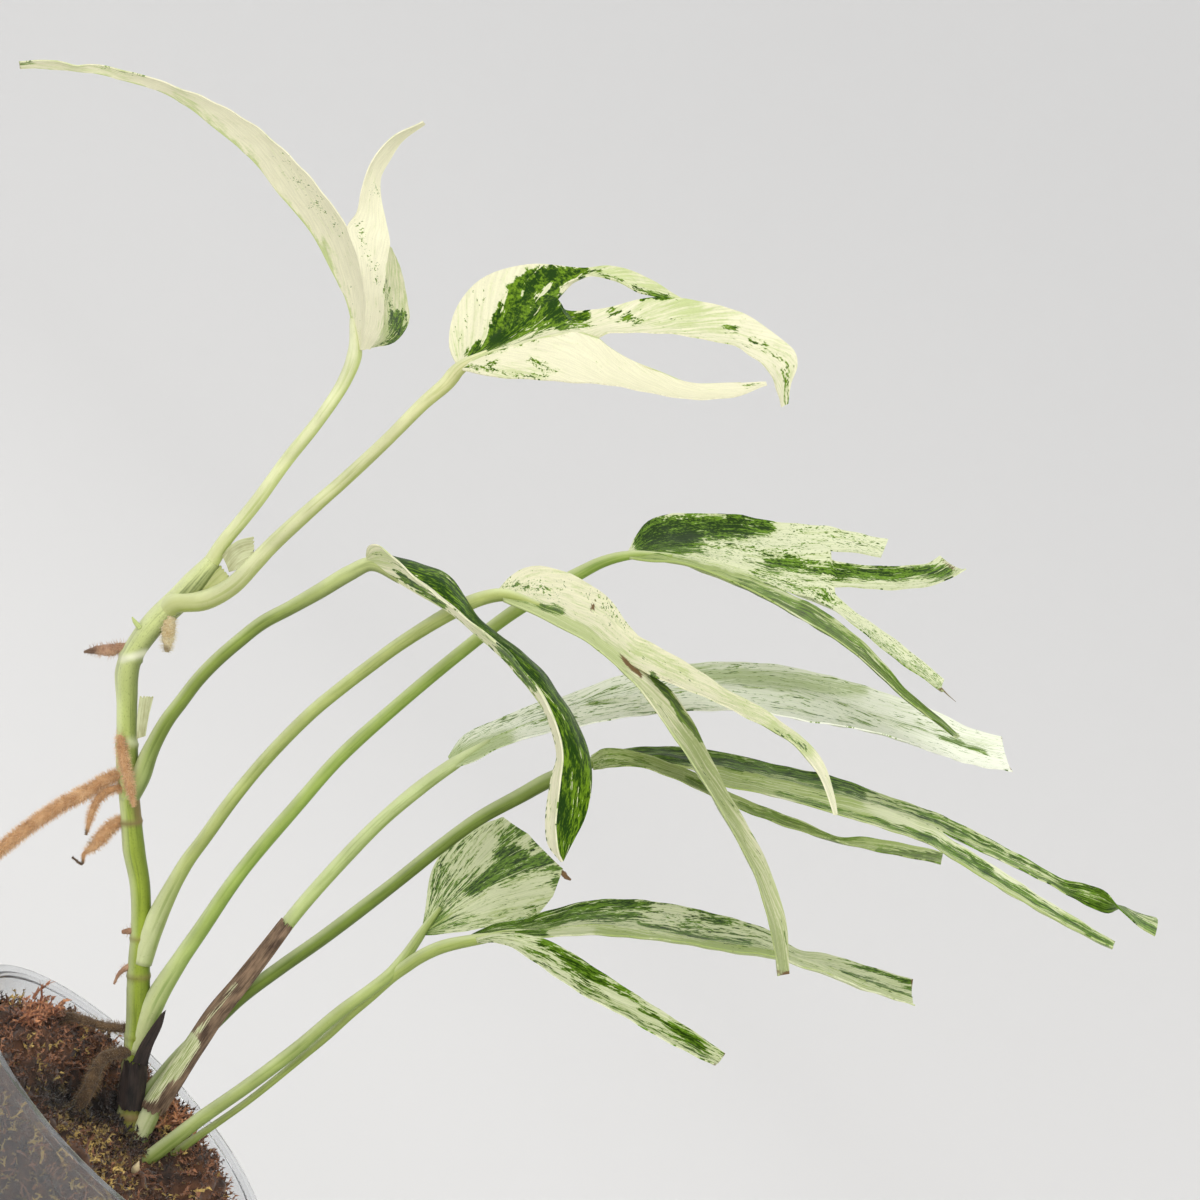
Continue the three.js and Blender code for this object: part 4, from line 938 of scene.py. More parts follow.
leaf_a = grow_blade(
    "leaf_a_blade", "cream", [
        ((A_FAR, A_FAR_TAIL), (A_RIB, A_RIB_TAIL), {"veil": 0.5}),
        ((A_RIB, A_RIB_TAIL), (A_SPLIT, A_TAIL_TOP), {}),
        ((A_SPLIT, A_HORN_LEFT), (A_FOLD, A_HORN_RIGHT), {}),
        ((A_FOLD,), (A_BACK,), {"veil": 0.5}),
    ],
    (24, 72), A_MARKS, arch=0.08, seen="under", shift=0.0, flow=2, slant=0.1, grain=1.2, rib=1,
)
dress(leaf_a, "leaf_a", "cream_leaf")
grow_petiole(
    "leaf_a", A_PETIOLE, A_PETIOLE_RADII, "cream_leaf",
    foot=(206, 210, 150), middle=(218, 221, 170), blade_end=(226, 228, 186), line=(170, 188, 90),
)

# %% [markdown]
# Leaf b is half green and half cream, and it is seen from above. A band along its upper edge parts from the
# middle lobe and meets it again, so one can look through a hole between them.
# %% Leaf b, drawn lines
B_RIM = [
    (457, 366, 2), (449, 345, -3), (455, 311, -9), (478, 281, -14), (512, 267, -17), (545, 264, -19),
    (570, 267, -20),
]
B_BAND_TOP = [(590, 268, -20), (610, 266, -20), (630, 270, -20), (650, 279, -20), (684, 300, -20)]
B_SPLIT = [(459, 366, 3), (485, 347, 1), (512, 328, -2), (538, 311, -6), (558, 299, -9)]
B_BAND_LOW = [
    (562, 287, -12), (575, 279, -14), (592, 276, -15), (612, 280, -16), (640, 292, -16), (678, 303, -17),
]
B_MIDDLE_TOP = [
    (560, 307, -8), (571, 311, -7), (592, 310, -6), (612, 307, -6), (640, 299, -8), (685, 299, -9),
    (720, 306, -9), (745, 314, -9), (770, 331, -8), (794, 351, -7), (797, 366, -6), (791, 384, -4),
    (788, 404, -2),
]
B_RIB = [(461, 367, 4), (490, 352, 6), (520, 344, 6), (555, 335, 6), (580, 333, 5), (597, 338, 5)]
B_MIDDLE_LOW = [
    (608, 333, 6), (640, 332, 7), (700, 338, 8), (735, 346, 8), (760, 362, 6), (772, 376, 4), (778, 391, 2),
    (782, 407, 0),
]
B_LAST_TOP = [(608, 347, 6), (630, 360, 8), (660, 372, 10), (690, 383, 11), (730, 383, 11), (766, 382, 9)]
B_LOW = [(463, 371, 5), (500, 377, 13), (550, 380, 18), (597, 384, 20)]
B_LAST_LOW = [(640, 390, 21), (680, 398, 20), (720, 399, 17), (745, 393, 14), (767, 385, 11)]
B_PETIOLE = [
    (166, 611, 0), (176, 603, 2), (205, 600, 2), (232, 586, 2), (254, 564, 2), (273, 544, 2), (318, 503, 2),
    (342, 482, 2), (385, 442, 2), (424, 403, 2), (446, 384, 2), (460, 368, 3), (488, 353, 4),
]
B_PETIOLE_RADII = [3.2, 3.1, 2.7, 2.4, 2.3, 2.1, 2, 1.9, 2, 2.3, 1.1]

print("leaf b: its rib's rail is", rail_length((B_RIB, B_MIDDLE_LOW)), "mm long")

# %% [markdown]
# Three strips make the blade. Its green is painted in many short strokes that follow the veins, because
# streaks of this size are what one sees of the leaf from afar.
# %% Leaf b
B_MARKS = {
    "green": (0.02, [
        (472, 354, 500, 340, 8, 0.9), (498, 334, 520, 298, 14, 0.7), (512, 330, 552, 316, 16, 0.7),
        (515, 308, 552, 298, 14, 0.4), (518, 284, 555, 281, 9, 0.6), (540, 296, 556, 300, 12, 0.4),
        (530, 276, 580, 272, 8, 0.8), (585, 271, 606, 269, 4, 0.4), (492, 322, 512, 290, 5, 0.3),
        (564, 320, 584, 319, 11, 0.75), (500, 334, 560, 276, 3, -0.35), (612, 314, 640, 320, 9, 0.5),
        (725, 326, 740, 330, 8, 0.42), (755, 340, 790, 362, 9, 0.45), (786, 372, 787, 404, 6, 0.5),
        (600, 275, 680, 302, 4, 0.4), (640, 298, 668, 298, 4, 0.5), (468, 368, 545, 378, 4, 0.5),
        (485, 362, 496, 362, 4, 0.5), (532, 361, 549, 368, 5, 0.45), (557, 371, 563, 374, 4, 0.5),
        (745, 386, 760, 384, 3, 0.4),
    ]),
    "specks": (0.22, [(455, 345, 480, 290, 14, 0.14), (600, 312, 780, 350, 14, 0.1)]),
    "veil": (0.08, [
        (460, 345, 470, 310, 16, 0.25), (600, 270, 690, 300, 14, 0.6), (500, 372, 540, 376, 10, 0.5),
        (650, 315, 720, 325, 12, 0.35),
    ]),
}
leaf_b = grow_blade(
    "leaf_b_blade", "cream", [
        ((B_RIM, B_BAND_TOP), (B_SPLIT, B_BAND_LOW), {"flow": 0.9}),
        ((B_SPLIT, B_MIDDLE_TOP), (B_RIB, B_MIDDLE_LOW), {"veil": 0.3, "flow": 0.9}),
        ((B_RIB, B_LAST_TOP), (B_LOW, B_LAST_LOW), {"veil": 0.0}),
    ],
    (24, 72), B_MARKS, arch=0.1, seen="upper", shift=3.7, flow=2, slant=0.3, grain=1.1, rib=2,
)
dress(leaf_b, "leaf_b", "half_green_leaf")
petiole_b = grow_petiole(
    "leaf_b", B_PETIOLE, B_PETIOLE_RADII, "half_green_leaf",
    foot=(190, 195, 132), middle=(205, 207, 158), blade_end=(216, 214, 160), line=(150, 165, 70),
)

# %% [markdown]
# Leaf c is folded along its midrib and twisted. One half lies in front, and the other is seen behind it.
# %% Leaf c, drawn lines
C_NEAR = [
    (366, 556, 16), (368, 547, 21), (379, 546, 25), (394, 558, 28), (410, 573, 30), (432, 591, 33),
    (455, 610, 36), (471, 623, 38), (487, 635, 40), (503, 648, 42), (521, 668, 44), (541, 693, 47),
    (551, 714, 50), (559, 737, 53), (563, 757, 55), (561, 777, 57), (558, 802, 59), (556, 830, 60),
    (557, 850, 60), (562, 862, 58),
]
C_RIB = [
    (367, 562, 13), (376, 567, 14), (388, 575, 16), (412, 590, 19), (440, 606, 22), (455, 616, 24),
    (480, 638, 28), (500, 655, 31), (515, 672, 33), (530, 690, 36), (545, 712, 39), (553, 735, 42),
    (557, 757, 45), (552, 776, 48), (548, 798, 50), (546, 822, 52), (548, 845, 54), (560, 862, 56),
]
C_FAR = [
    (368, 558, 9), (378, 553, 6), (393, 556, 5), (416, 562, 5), (440, 571, 7), (453, 580, 9),
    (463, 596, 12), (471, 608, 14), (483, 622, 16), (497, 633, 17), (513, 645, 18), (530, 658, 19),
    (545, 674, 21), (560, 695, 23), (573, 715, 25), (584, 738, 28), (590, 758, 31), (592, 776, 35),
    (590, 798, 40), (584, 820, 45), (574, 840, 50), (563, 861, 55),
]
C_PETIOLE = [
    (128, 800, -1), (140, 778, 0), (150, 752, 1), (166, 722, 2), (181, 702, 3), (197, 681, 4),
    (216, 661, 5), (239, 641, 6), (262, 623, 7), (290, 608, 8), (320, 591, 10), (350, 573, 12),
    (372, 564, 13), (400, 581, 17),
]
C_PETIOLE_RADII = [3, 3, 2.4, 2.2, 2.1, 2.1, 2.1, 2.1, 2.1, 2.3, 2.4, 2.1, 0.9]

print("leaf c: its rib's rail is", rail_length((C_RIB,)), "mm long")

# %% [markdown]
# Each half is one strip of the full length. The near half is cream and the far one green, so each strip
# adds an amount of its own to what is painted.
# %% Leaf c
C_MARKS = {
    "green": (0.1, [
        (405, 568, 455, 600, 16, 0.25), (470, 612, 540, 680, 8, 0.35), (500, 648, 535, 690, 4, 0.6),
        (560, 700, 575, 745, 12, 0.2), (562, 806, 566, 828, 8, 0.4), (400, 575, 445, 606, 3, 0.45),
    ]),
    "specks": (0.22, [(380, 548, 378, 552, 6, 0.2), (455, 612, 520, 670, 9, 0.12)]),
    "veil": (0.2, [(480, 628, 545, 690, 8, 0.3), (385, 558, 362, 562, 12, 0.5)]),
}
leaf_c = grow_blade(
    "leaf_c_blade", "cream", [
        ((C_NEAR,), (C_RIB,), {"green": 0.1}),
        ((C_RIB,), (C_FAR,), {"green": 0.92}),
    ],
    (110, 0), C_MARKS, arch=0.08, seen="under", shift=7.4, flow=0.55, slant=0.12, grain=1.2, rib=1,
)
dress(leaf_c, "leaf_c", "half_green_leaf")
grow_petiole(
    "leaf_c", C_PETIOLE, C_PETIOLE_RADII, "half_green_leaf",
    foot=(176, 190, 120), middle=(134, 152, 68), blade_end=(188, 197, 132), line=(84, 104, 36),
)

# %% [markdown]
# Leaf d is cream and has two fingers. The upper one points to the right, and the lower one is long and
# hangs down.
# %% Leaf d, drawn lines
D_TOP = [
    (498, 590, 5), (510, 577, -2), (522, 569, -6), (540, 566, -9), (565, 572, -10), (592, 586, -9),
    (612, 602, -6), (625, 622, -3), (638, 636, 0),
]
D_UPPER_TOP = [
    (655, 645, 1), (700, 671, 4), (730, 692, 8), (760, 707, 13), (790, 728, 20), (811, 746, 27),
    (826, 770, 35), (834, 794, 43), (837, 815, 49),
]
D_SPLIT = [(502, 595, 9), (530, 600, 12), (560, 612, 14), (590, 630, 15), (612, 648, 15), (625, 659, 15)]
D_UPPER_LOW = [
    (645, 672, 17), (668, 682, 19), (715, 701, 23), (745, 716, 28), (775, 731, 34), (799, 749, 40),
    (818, 773, 45), (829, 797, 49), (834, 815, 51),
]
D_LOWER_RIGHT = [
    (640, 667, 14), (655, 677, 14), (670, 690, 14), (685, 709, 15), (701, 738, 17), (716, 770, 20),
    (731, 798, 23), (746, 824, 26), (761, 851, 30), (772, 876, 34), (780, 902, 37), (787, 930, 40),
    (789, 974, 44),
]
D_LOW = [(504, 601, 13), (535, 614, 19), (560, 627, 22), (585, 640, 24), (600, 651, 25), (615, 664, 26)]
D_LOWER_LEFT = [
    (640, 689, 29), (664, 722, 33), (685, 752, 36), (706, 785, 39), (724, 815, 42), (739, 842, 45),
    (754, 872, 48), (763, 899, 50), (770, 928, 52), (779, 976, 55),
]
D_PETIOLE = [
    (141, 962, -3), (152, 930, -2), (163, 905, -1), (176, 880, -1), (188, 860, -1), (203, 840, 0),
    (232, 800, 0), (265, 760, 0), (310, 714, 1), (340, 689, 1), (370, 666, 2), (400, 644, 3), (450, 613, 5),
    (480, 599, 7), (505, 595, 9), (540, 605, 13),
]
D_PETIOLE_RADII = [3.4, 3.2, 2.4, 2.1, 2.1, 2, 2, 2, 2, 2, 2.1, 2.3, 2, 0.9]

print("leaf d: its rib's rail is", rail_length((D_LOW, D_LOWER_LEFT)), "mm long")

# %% [markdown]
# A thin pale green lies under the cream, and it is painted as a veil. Green itself is left to a few
# strokes, and the dried tip and the dried edge at the cut are brown.
# %% Leaf d
D_MARKS = {
    "green": (0.0, [
        (500, 586, 528, 586, 5, 0.55), (548, 589, 558, 589, 5, 0.55), (545, 607, 560, 611, 5, 0.5),
        (603, 606, 610, 610, 6, 0.35), (652, 674, 700, 738, 3.6, 0.95), (775, 730, 808, 750, 4, 0.5),
        (618, 622, 625, 630, 5, 0.3), (520, 600, 560, 612, 5, 0.3), (655, 655, 700, 690, 5, 0.22),
    ]),
    "specks": (0.31, [(500, 580, 560, 592, 10, 0.12), (600, 600, 630, 625, 10, 0.12)]),
    "veil": (0.3, [
        (500, 600, 620, 660, 14, 0.5), (640, 650, 680, 672, 8, 0.35), (720, 690, 770, 722, 8, 0.3),
        (690, 740, 785, 970, 16, 0.35), (775, 730, 808, 750, 8, 0.6),
    ]),
    # The long lower finger is darkened with painted shade, an olive-grey wash.
    "wash": (0, [(690, 730, 785, 970, 14, 0.35)]),
    "brown": (0, [
        (621, 657, 640, 676, 3, 0.75), (650, 672, 680, 686, 3, 0.4), (593, 604, 593, 612, 3, 0.7),
        (779, 973, 789, 973, 3, 1.0),
    ]),
}
leaf_d = grow_blade(
    "leaf_d_blade", "cream", [
        ((D_TOP, D_UPPER_TOP), (D_SPLIT, D_UPPER_LOW), {}),
        ((D_SPLIT, D_LOWER_RIGHT), (D_LOW, D_LOWER_LEFT), {"veil": 0.5, "green": 0.22, "flow": 0.45,
    "wash": 0.25}),
    ],
    (24, 72), D_MARKS, arch=0.1, seen="under", shift=11.1, flow=1.6, slant=0.14, grain=1.2, rib=2,
)
dress(leaf_d, "leaf_d", "cream_leaf")
grow_petiole(
    "leaf_d", D_PETIOLE, D_PETIOLE_RADII, "cream_leaf",
    foot=(206, 214, 158), middle=(172, 183, 110), blade_end=(186, 196, 118), line=(120, 142, 56),
)

# %% [markdown]
# Leaf e has four fingers that spread from a broad foot. The cut between two fingers is one rail up to the
# place where they part, and from there it is two.
# %% Leaf e, drawn lines
E_TOP = [
    (628, 551, -17), (637, 534, -26), (648, 521, -33), (671, 514, -42), (705, 514, -50), (738, 515, -57),
    (768, 521, -62), (800, 524, -66), (825, 526, -68),
]
E_FIRST_TOP = [(855, 533, -71), (888, 540, -74)]
E_CUT_1 = [
    (630, 552, -17), (660, 545, -26), (700, 543, -36), (740, 545, -45), (790, 549, -52), (830, 551, -57),
]
E_FIRST_LOW = [(850, 552, -58), (881, 557, -61)]
E_SECOND_TOP = [
    (831, 559, -55), (842, 563, -54), (881, 566, -54), (906, 566, -54), (926, 564, -55), (940, 556, -58),
]
E_CUT_2 = [
    (631, 553, -17), (665, 551, -21), (705, 556, -28), (745, 566, -34), (790, 578, -39), (833, 587, -43),
]
E_SECOND_LOW = [(855, 587, -42), (893, 589, -40), (926, 586, -39), (950, 578, -40), (966, 569, -43)]
E_THIRD_TOP = [
    (836, 596, -40), (855, 612, -38), (881, 630, -35), (906, 648, -32), (932, 669, -29), (944, 680, -27),
]
E_CUT_3 = [
    (631, 554, -16), (660, 554, -17), (690, 560, -20), (715, 567, -23), (742, 575, -25), (766, 583, -27),
]
E_THIRD_LOW = [
    (789, 591, -28), (812, 598, -27), (830, 607, -26), (855, 625, -23), (881, 647, -19), (906, 666, -16),
    (943, 692, -12),
]
E_LAST_TOP = [
    (791, 595, -25), (817, 607, -23), (842, 625, -20), (868, 646, -17), (886, 666, -15), (906, 689, -12),
    (932, 712, -9), (960, 736, -6),
]
E_LOW = [(630, 558, -14), (651, 561, -10), (676, 562, -7), (702, 569, -5), (727, 579, -3), (753, 591, -2)]
E_LAST_LOW = [
    (779, 605, -1), (804, 620, 0), (830, 635, 1), (855, 653, 2), (881, 676, 2), (906, 699, 2),
    (932, 719, 1), (956, 738, -1),
]
E_PETIOLE = [
    (137, 1052, -5), (147, 1020, -4), (157, 997, -3), (180, 960, -4), (200, 931, -5), (240, 873, -6),
    (300, 802, -8), (340, 757, -9), (400, 703, -11), (460, 653, -13), (515, 611, -15), (580, 573, -16),
    (605, 561, -16), (632, 555, -16), (672, 556, -18),
]
E_PETIOLE_RADII = [3.6, 3.4, 2.6, 2.4, 2.2, 2.2, 2.1, 2.1, 2, 2, 2, 2.1, 2.2, 1.6, 0.8]

print("leaf e: its rib's rail is", rail_length((E_LOW, E_LAST_LOW)), "mm long")

# %% [markdown]
# Four strips share the rails of the three cuts. The strongest stroke lays a green patch near the upper
# edge, and weaker ones add streaks to the fingers.
# %% Leaf e
E_MARKS = {
    "green": (0.1, [
        (652, 530, 764, 524, 13, 1.05), (640, 543, 692, 541, 8, 0.85), (768, 562, 835, 571, 8, 0.5),
        (845, 573, 945, 573, 8, 0.6), (755, 572, 835, 598, 7, 0.25), (805, 612, 945, 733, 9, 0.5),
        (740, 585, 800, 612, 5, 0.5), (640, 551, 700, 553, 4, 0.4), (825, 533, 845, 533, 3, 0.35),
    ]),
    "specks": (0.35, [
        (700, 548, 800, 552, 12, 0.12), (800, 528, 880, 550, 12, 0.1), (760, 575, 835, 600, 10, 0.15),
        (850, 625, 944, 686, 9, 0.14),
    ]),
    "veil": (0.25, [(640, 555, 760, 585, 9, 0.5), (850, 630, 940, 690, 6, 0.3)]),
    "brown": (0, [(945, 562, 955, 570, 4, 0.5), (940, 690, 944, 690, 3, 0.6)]),
}
leaf_e = grow_blade(
    "leaf_e_blade", "green", [
        ((E_TOP, E_FIRST_TOP), (E_CUT_1, E_FIRST_LOW), {"green": 0.12}),
        ((E_CUT_1, E_SECOND_TOP), (E_CUT_2, E_SECOND_LOW), {"green": 0.25}),
        ((E_CUT_2, E_THIRD_TOP), (E_CUT_3, E_THIRD_LOW), {"green": 0.15}),
        # The last finger is darkened with painted shade, an olive-grey wash.
        ((E_CUT_3, E_LAST_TOP), (E_LOW, E_LAST_LOW), {"green": 0.35, "veil": 0.5, "flow": 0.35,
    "wash": 0.3}),
    ],
    (36, 56), E_MARKS, arch=0.08, seen="upper", shift=14.8, flow=0.9, slant=0.05, grain=1.35, rib=4,
)
dress(leaf_e, "leaf_e", "half_green_leaf")
grow_petiole(
    "leaf_e", E_PETIOLE, E_PETIOLE_RADII, "half_green_leaf",
    foot=(204, 212, 150), middle=(160, 180, 92), blade_end=(160, 178, 96), line=(112, 144, 48),
)

# %% [markdown]
# Leaf f is long, pale and undivided. Three rails draw it: the upper edge, the midrib and the lower edge.
# %% Leaf f, drawn lines
F_TOP = [
    (448, 757, -16), (465, 735, -24), (496, 720, -31), (530, 706, -36), (568, 695, -40), (608, 680, -44),
    (650, 668, -47), (690, 664, -49), (730, 662, -50), (781, 666, -51), (837, 678, -52), (896, 697, -53),
    (936, 711, -52), (971, 729, -49), (1002, 737, -45),
]
F_RIB = [
    (452, 763, -13), (475, 748, -14), (505, 733, -16), (545, 718, -18), (590, 704, -20), (640, 694, -22),
    (690, 688, -24), (740, 687, -25), (790, 690, -27), (830, 700, -28), (870, 714, -30), (920, 731, -32),
    (965, 747, -36), (1006, 757, -37),
]
F_LOW = [
    (454, 768, -12), (474, 761, -8), (505, 745, -4), (550, 732, -1), (584, 725, 1), (639, 715, 2),
    (698, 710, 2), (758, 711, 1), (797, 719, 0), (853, 728, -3), (896, 738, -6), (936, 753, -16),
    (975, 765, -23), (1013, 771, -29),
]
F_PETIOLE = [
    (128, 1160, -6), (140, 1135, -6), (152, 1110, -6), (175, 1075, -6), (195, 1045, -7), (215, 1015, -7),
    (240, 985, -8), (262, 957, -8), (300, 908, -9), (340, 863, -10), (380, 822, -11), (420, 788, -12),
    (452, 765, -13), (490, 741, -15),
]
F_PETIOLE_RADII = [3.2, 3.1, 2.8, 2.4, 2.3, 2.2, 2.2, 2.2, 2.2, 2.2, 2.1, 2.2, 2, 0.9]

print("leaf f: its rib's rail is", rail_length((F_RIB,)), "mm long")

# %% [markdown]
# Two strips of the full length make the blade. Its thin green streaks are painted one by one, because each
# of them can be seen on a pale leaf.
# %% Leaf f
F_MARKS = {
    "green": (0.08, [
        (560, 700, 640, 690, 8, 0.3), (690, 668, 770, 674, 6, 0.3), (740, 686, 850, 705, 1.5, 0.55),
        (850, 705, 960, 744, 1.5, 0.3), (505, 722, 548, 712, 6, 0.3), (590, 704, 640, 703, 3, 0.4),
        (765, 706, 815, 716, 3, 0.45), (838, 718, 870, 724, 4, 0.45), (915, 722, 960, 738, 5, 0.3),
        (940, 738, 985, 753, 2, 0.4), (940, 742, 1004, 758, 5, 0.3), (640, 713, 700, 711, 2, 0.5),
    ]),
    "specks": (0.39, [(460, 735, 640, 700, 14, 0.05)]),
    "veil": (0.12, [
        (448, 762, 505, 742, 12, 0.9), (690, 672, 860, 690, 9, 0.7), (860, 715, 990, 748, 7, 0.25),
    ]),
    "brown": (0, [(1003, 738, 1012, 770, 2.5, 0.6)]),
}
leaf_f = grow_blade(
    "leaf_f_blade", "pale", [
        ((F_TOP,), (F_RIB,), {"veil": 0.2}),
        ((F_RIB,), (F_LOW,), {}),
    ],
    (130, 0), F_MARKS, arch=0.08, seen="upper", shift=18.5, flow=0.4, slant=0.08, grain=1.3, rib=1,
)
dress(leaf_f, "leaf_f", "pale_leaf")
grow_petiole(
    "leaf_f", F_PETIOLE, F_PETIOLE_RADII, "pale_leaf",
    foot=(214, 218, 170), middle=(184, 198, 130), blade_end=(200, 212, 152), line=(128, 152, 60),
)

# %% [markdown]
# Leaf g is the greenest one. It has two fingers, and the upper one twists at its end.
# %% Leaf g, drawn lines
G_TOP = [
    (596, 753, -8), (618, 750, -14), (640, 747, -19), (686, 748, -25), (735, 755, -29), (781, 766, -32),
    (837, 778, -34), (876, 792, -35), (922, 808, -36),
]
G_UPPER_TOP = [
    (955, 822, -36), (995, 842, -35), (1034, 863, -34), (1062, 879, -31), (1086, 884, -28),
    (1106, 893, -24), (1119, 909, -20), (1136, 924, -18), (1155, 936, -17),
]
G_SPLIT = [
    (598, 758, -7), (640, 755, -9), (690, 760, -11), (745, 772, -13), (800, 785, -14), (850, 798, -15),
    (893, 811, -16), (932, 826, -17),
]
G_UPPER_LOW = [
    (975, 848, -18), (1015, 867, -19), (1054, 887, -21), (1086, 905, -24), (1106, 913, -28),
    (1119, 909, -32), (1135, 913, -34), (1156, 919, -35),
]
G_LOWER_TOP = [(955, 842, -15), (995, 867, -13), (1034, 893, -10), (1074, 917, -7), (1115, 942, -3)]
G_LOW = [
    (599, 764, -5), (640, 763, -2), (690, 768, 1), (722, 785, 3), (758, 792, 4), (797, 802, 5),
    (837, 814, 5), (878, 826, 5), (924, 841, 5),
]
G_LOWER_LOW = [(955, 860, 6), (995, 885, 7), (1034, 907, 9), (1074, 929, 11), (1113, 948, 13)]
G_SIDE_TOP = [
    (592, 755, -3), (606, 748, 3), (639, 753, 6), (679, 766, 8), (706, 778, 9), (738, 797, 10),
    (777, 812, 11), (813, 826, 12), (837, 837, 13), (862, 838, 13), (896, 842, 13), (943, 853, 13),
]
G_SIDE_LOW = [
    (594, 770, -1), (612, 767, 9), (639, 767, 15), (679, 780, 18), (718, 800, 20), (758, 816, 22),
    (805, 832, 23), (844, 843, 25), (876, 850, 27), (908, 857, 29), (941, 863, 31),
]
G_PETIOLE = [
    (128, 1122, -9), (150, 1092, -11), (180, 1056, -12), (215, 1022, -12), (240, 998, -12), (280, 968, -11),
    (320, 940, -10), (360, 910, -10), (400, 879, -9), (440, 847, -9), (480, 818, -8), (520, 796, -8),
    (553, 778, -7), (594, 762, -6), (632, 757, -8),
]
G_PETIOLE_RADII = [2.8, 2.4, 2.3, 2.2, 2.2, 2.2, 2.2, 2.2, 2.1, 2.1, 2.1, 2.2, 2.4, 1.9, 0.9]

print("leaf g: its rib's rail is", rail_length((G_LOW, G_LOWER_LOW)), "mm long")

# %% [markdown]
# The blade has two strips. The side lobe shares no rail with them beyond the leaf's foot, so it is a sheet
# of its own.
# %% Leaf g
G_MARKS = {
    "green": (0.1, [
        (640, 750, 860, 785, 7, 0.3), (720, 765, 840, 795, 5, -0.15), (870, 800, 940, 835, 6, -0.2),
        (780, 795, 930, 838, 5, 0.4), (925, 838, 985, 868, 7, 0.5), (985, 872, 1110, 946, 4, 0.55),
        (1070, 885, 1110, 905, 14, 0.2), (600, 762, 690, 762, 6, 0.5),
    ]),
    "specks": (0.26, [(720, 772, 830, 800, 10, 0.12)]),
    "veil": (0.6, [(960, 850, 1060, 905, 7, -0.8), (870, 806, 960, 850, 6, -0.6)]),
    "brown": (0, [(1156, 919, 1155, 936, 2, 0.4)]),
}
G_SIDE_MARKS = {
    "green": (0.4, [
        (690, 780, 720, 792, 6, 0.4), (740, 806, 840, 840, 4, 0.4), (845, 838, 880, 838, 2.5, 0.6),
        (880, 850, 940, 858, 4, 0.45), (600, 762, 640, 762, 6, 0.3),
    ]),
    "veil": (0.9, []),
}
leaf_g = grow_blade(
    "leaf_g_blade", "green", [
        # The upper strip takes a trace of painted shade.
        ((G_TOP, G_UPPER_TOP), (G_SPLIT, G_UPPER_LOW), {"green": 0.6, "wash": 0.05}),
        ((G_SPLIT, G_LOWER_TOP), (G_LOW, G_LOWER_LOW), {"green": 0.18, "veil": 0.7}),
    ],
    (64, 50), G_MARKS, arch=0.08, seen="upper", shift=22.2, flow=0.4, slant=0.05, grain=1.4, rib=2,
)
# The side lobe is darkened with painted shade, an olive-grey wash.
leaf_g_side = grow_blade(
    "leaf_g_side", "green", [((G_SIDE_TOP,), (G_SIDE_LOW,), {"green": 0.28, "veil": 0.8, "wash": 0.55})],
    (110, 0), G_SIDE_MARKS, arch=0.08, seen="upper", shift=24.1, flow=0.5, slant=0.05, grain=1.4,
    rib_radii=None,
)
dress(leaf_g_side, "leaf_g", "green_streaked_leaf")
dress(leaf_g, "leaf_g", "green_streaked_leaf")
grow_petiole(
    "leaf_g", G_PETIOLE, G_PETIOLE_RADII, "green_streaked_leaf",
    foot=(112, 132, 56), middle=(116, 136, 54), blade_end=(124, 142, 66), line=(70, 90, 26),
)

# %% [markdown]
# Leaf h lies low beside the pot's rim. It is undivided but for a side lobe, which has two rails of its own.
# %% Leaf h, drawn lines
H_TOP = [
    (470, 936, -2), (490, 926, -8), (514, 921, -12), (555, 909, -17), (586, 902, -20), (620, 899, -22),
    (655, 902, -24), (693, 909, -25), (727, 917, -26), (765, 929, -26), (796, 949, -24), (830, 955, -24),
    (865, 966, -20), (913, 980, -14),
]
H_RIB = [
    (474, 938, 0), (505, 931, 0), (545, 930, 0), (590, 925, 0), (640, 930, 0), (700, 940, 0), (760, 949, 0),
    (800, 957, 0), (850, 975, 0), (912, 998, 1),
]
H_LOW = [
    (474, 942, 2), (505, 940, 5), (545, 937, 8), (579, 935, 11), (624, 936, 13), (675, 941, 14),
    (727, 950, 15), (775, 957, 16), (806, 967, 16), (830, 974, 16), (861, 988, 14), (889, 997, 12),
    (915, 1006, 9),
]
H_SIDE_TOP = [
    (474, 938, 2), (507, 933, 12), (540, 938, 15), (572, 953, 17), (607, 976, 20), (641, 998, 23),
    (675, 1020, 27), (700, 1036, 30), (725, 1054, 34),
]
H_SIDE_LOW = [
    (478, 943, 3), (505, 944, 17), (531, 960, 24), (555, 976, 29), (589, 998, 34), (624, 1016, 38),
    (658, 1036, 42), (693, 1055, 46), (714, 1065, 50),
]
H_PETIOLE = [
    (112, 1188, -5), (146, 1170, -4), (173, 1154, -3), (197, 1137, -3), (248, 1101, -3), (299, 1060, -4),
    (329, 1035, -4), (350, 1015, -4), (370, 997, -4), (390, 978, -3), (405, 967, -2), (420, 957, -1),
    (442, 947, 0), (474, 940, 1), (515, 934, 1),
]
H_PETIOLE_RADII = [2.4, 2.2, 1.6, 1.2, 1.1, 1.1, 1.1, 1.1, 1.2, 1.5, 1.9, 2, 2, 1.7, 0.8]

print("leaf h: its rib's rail is", rail_length((H_RIB,)), "mm long")

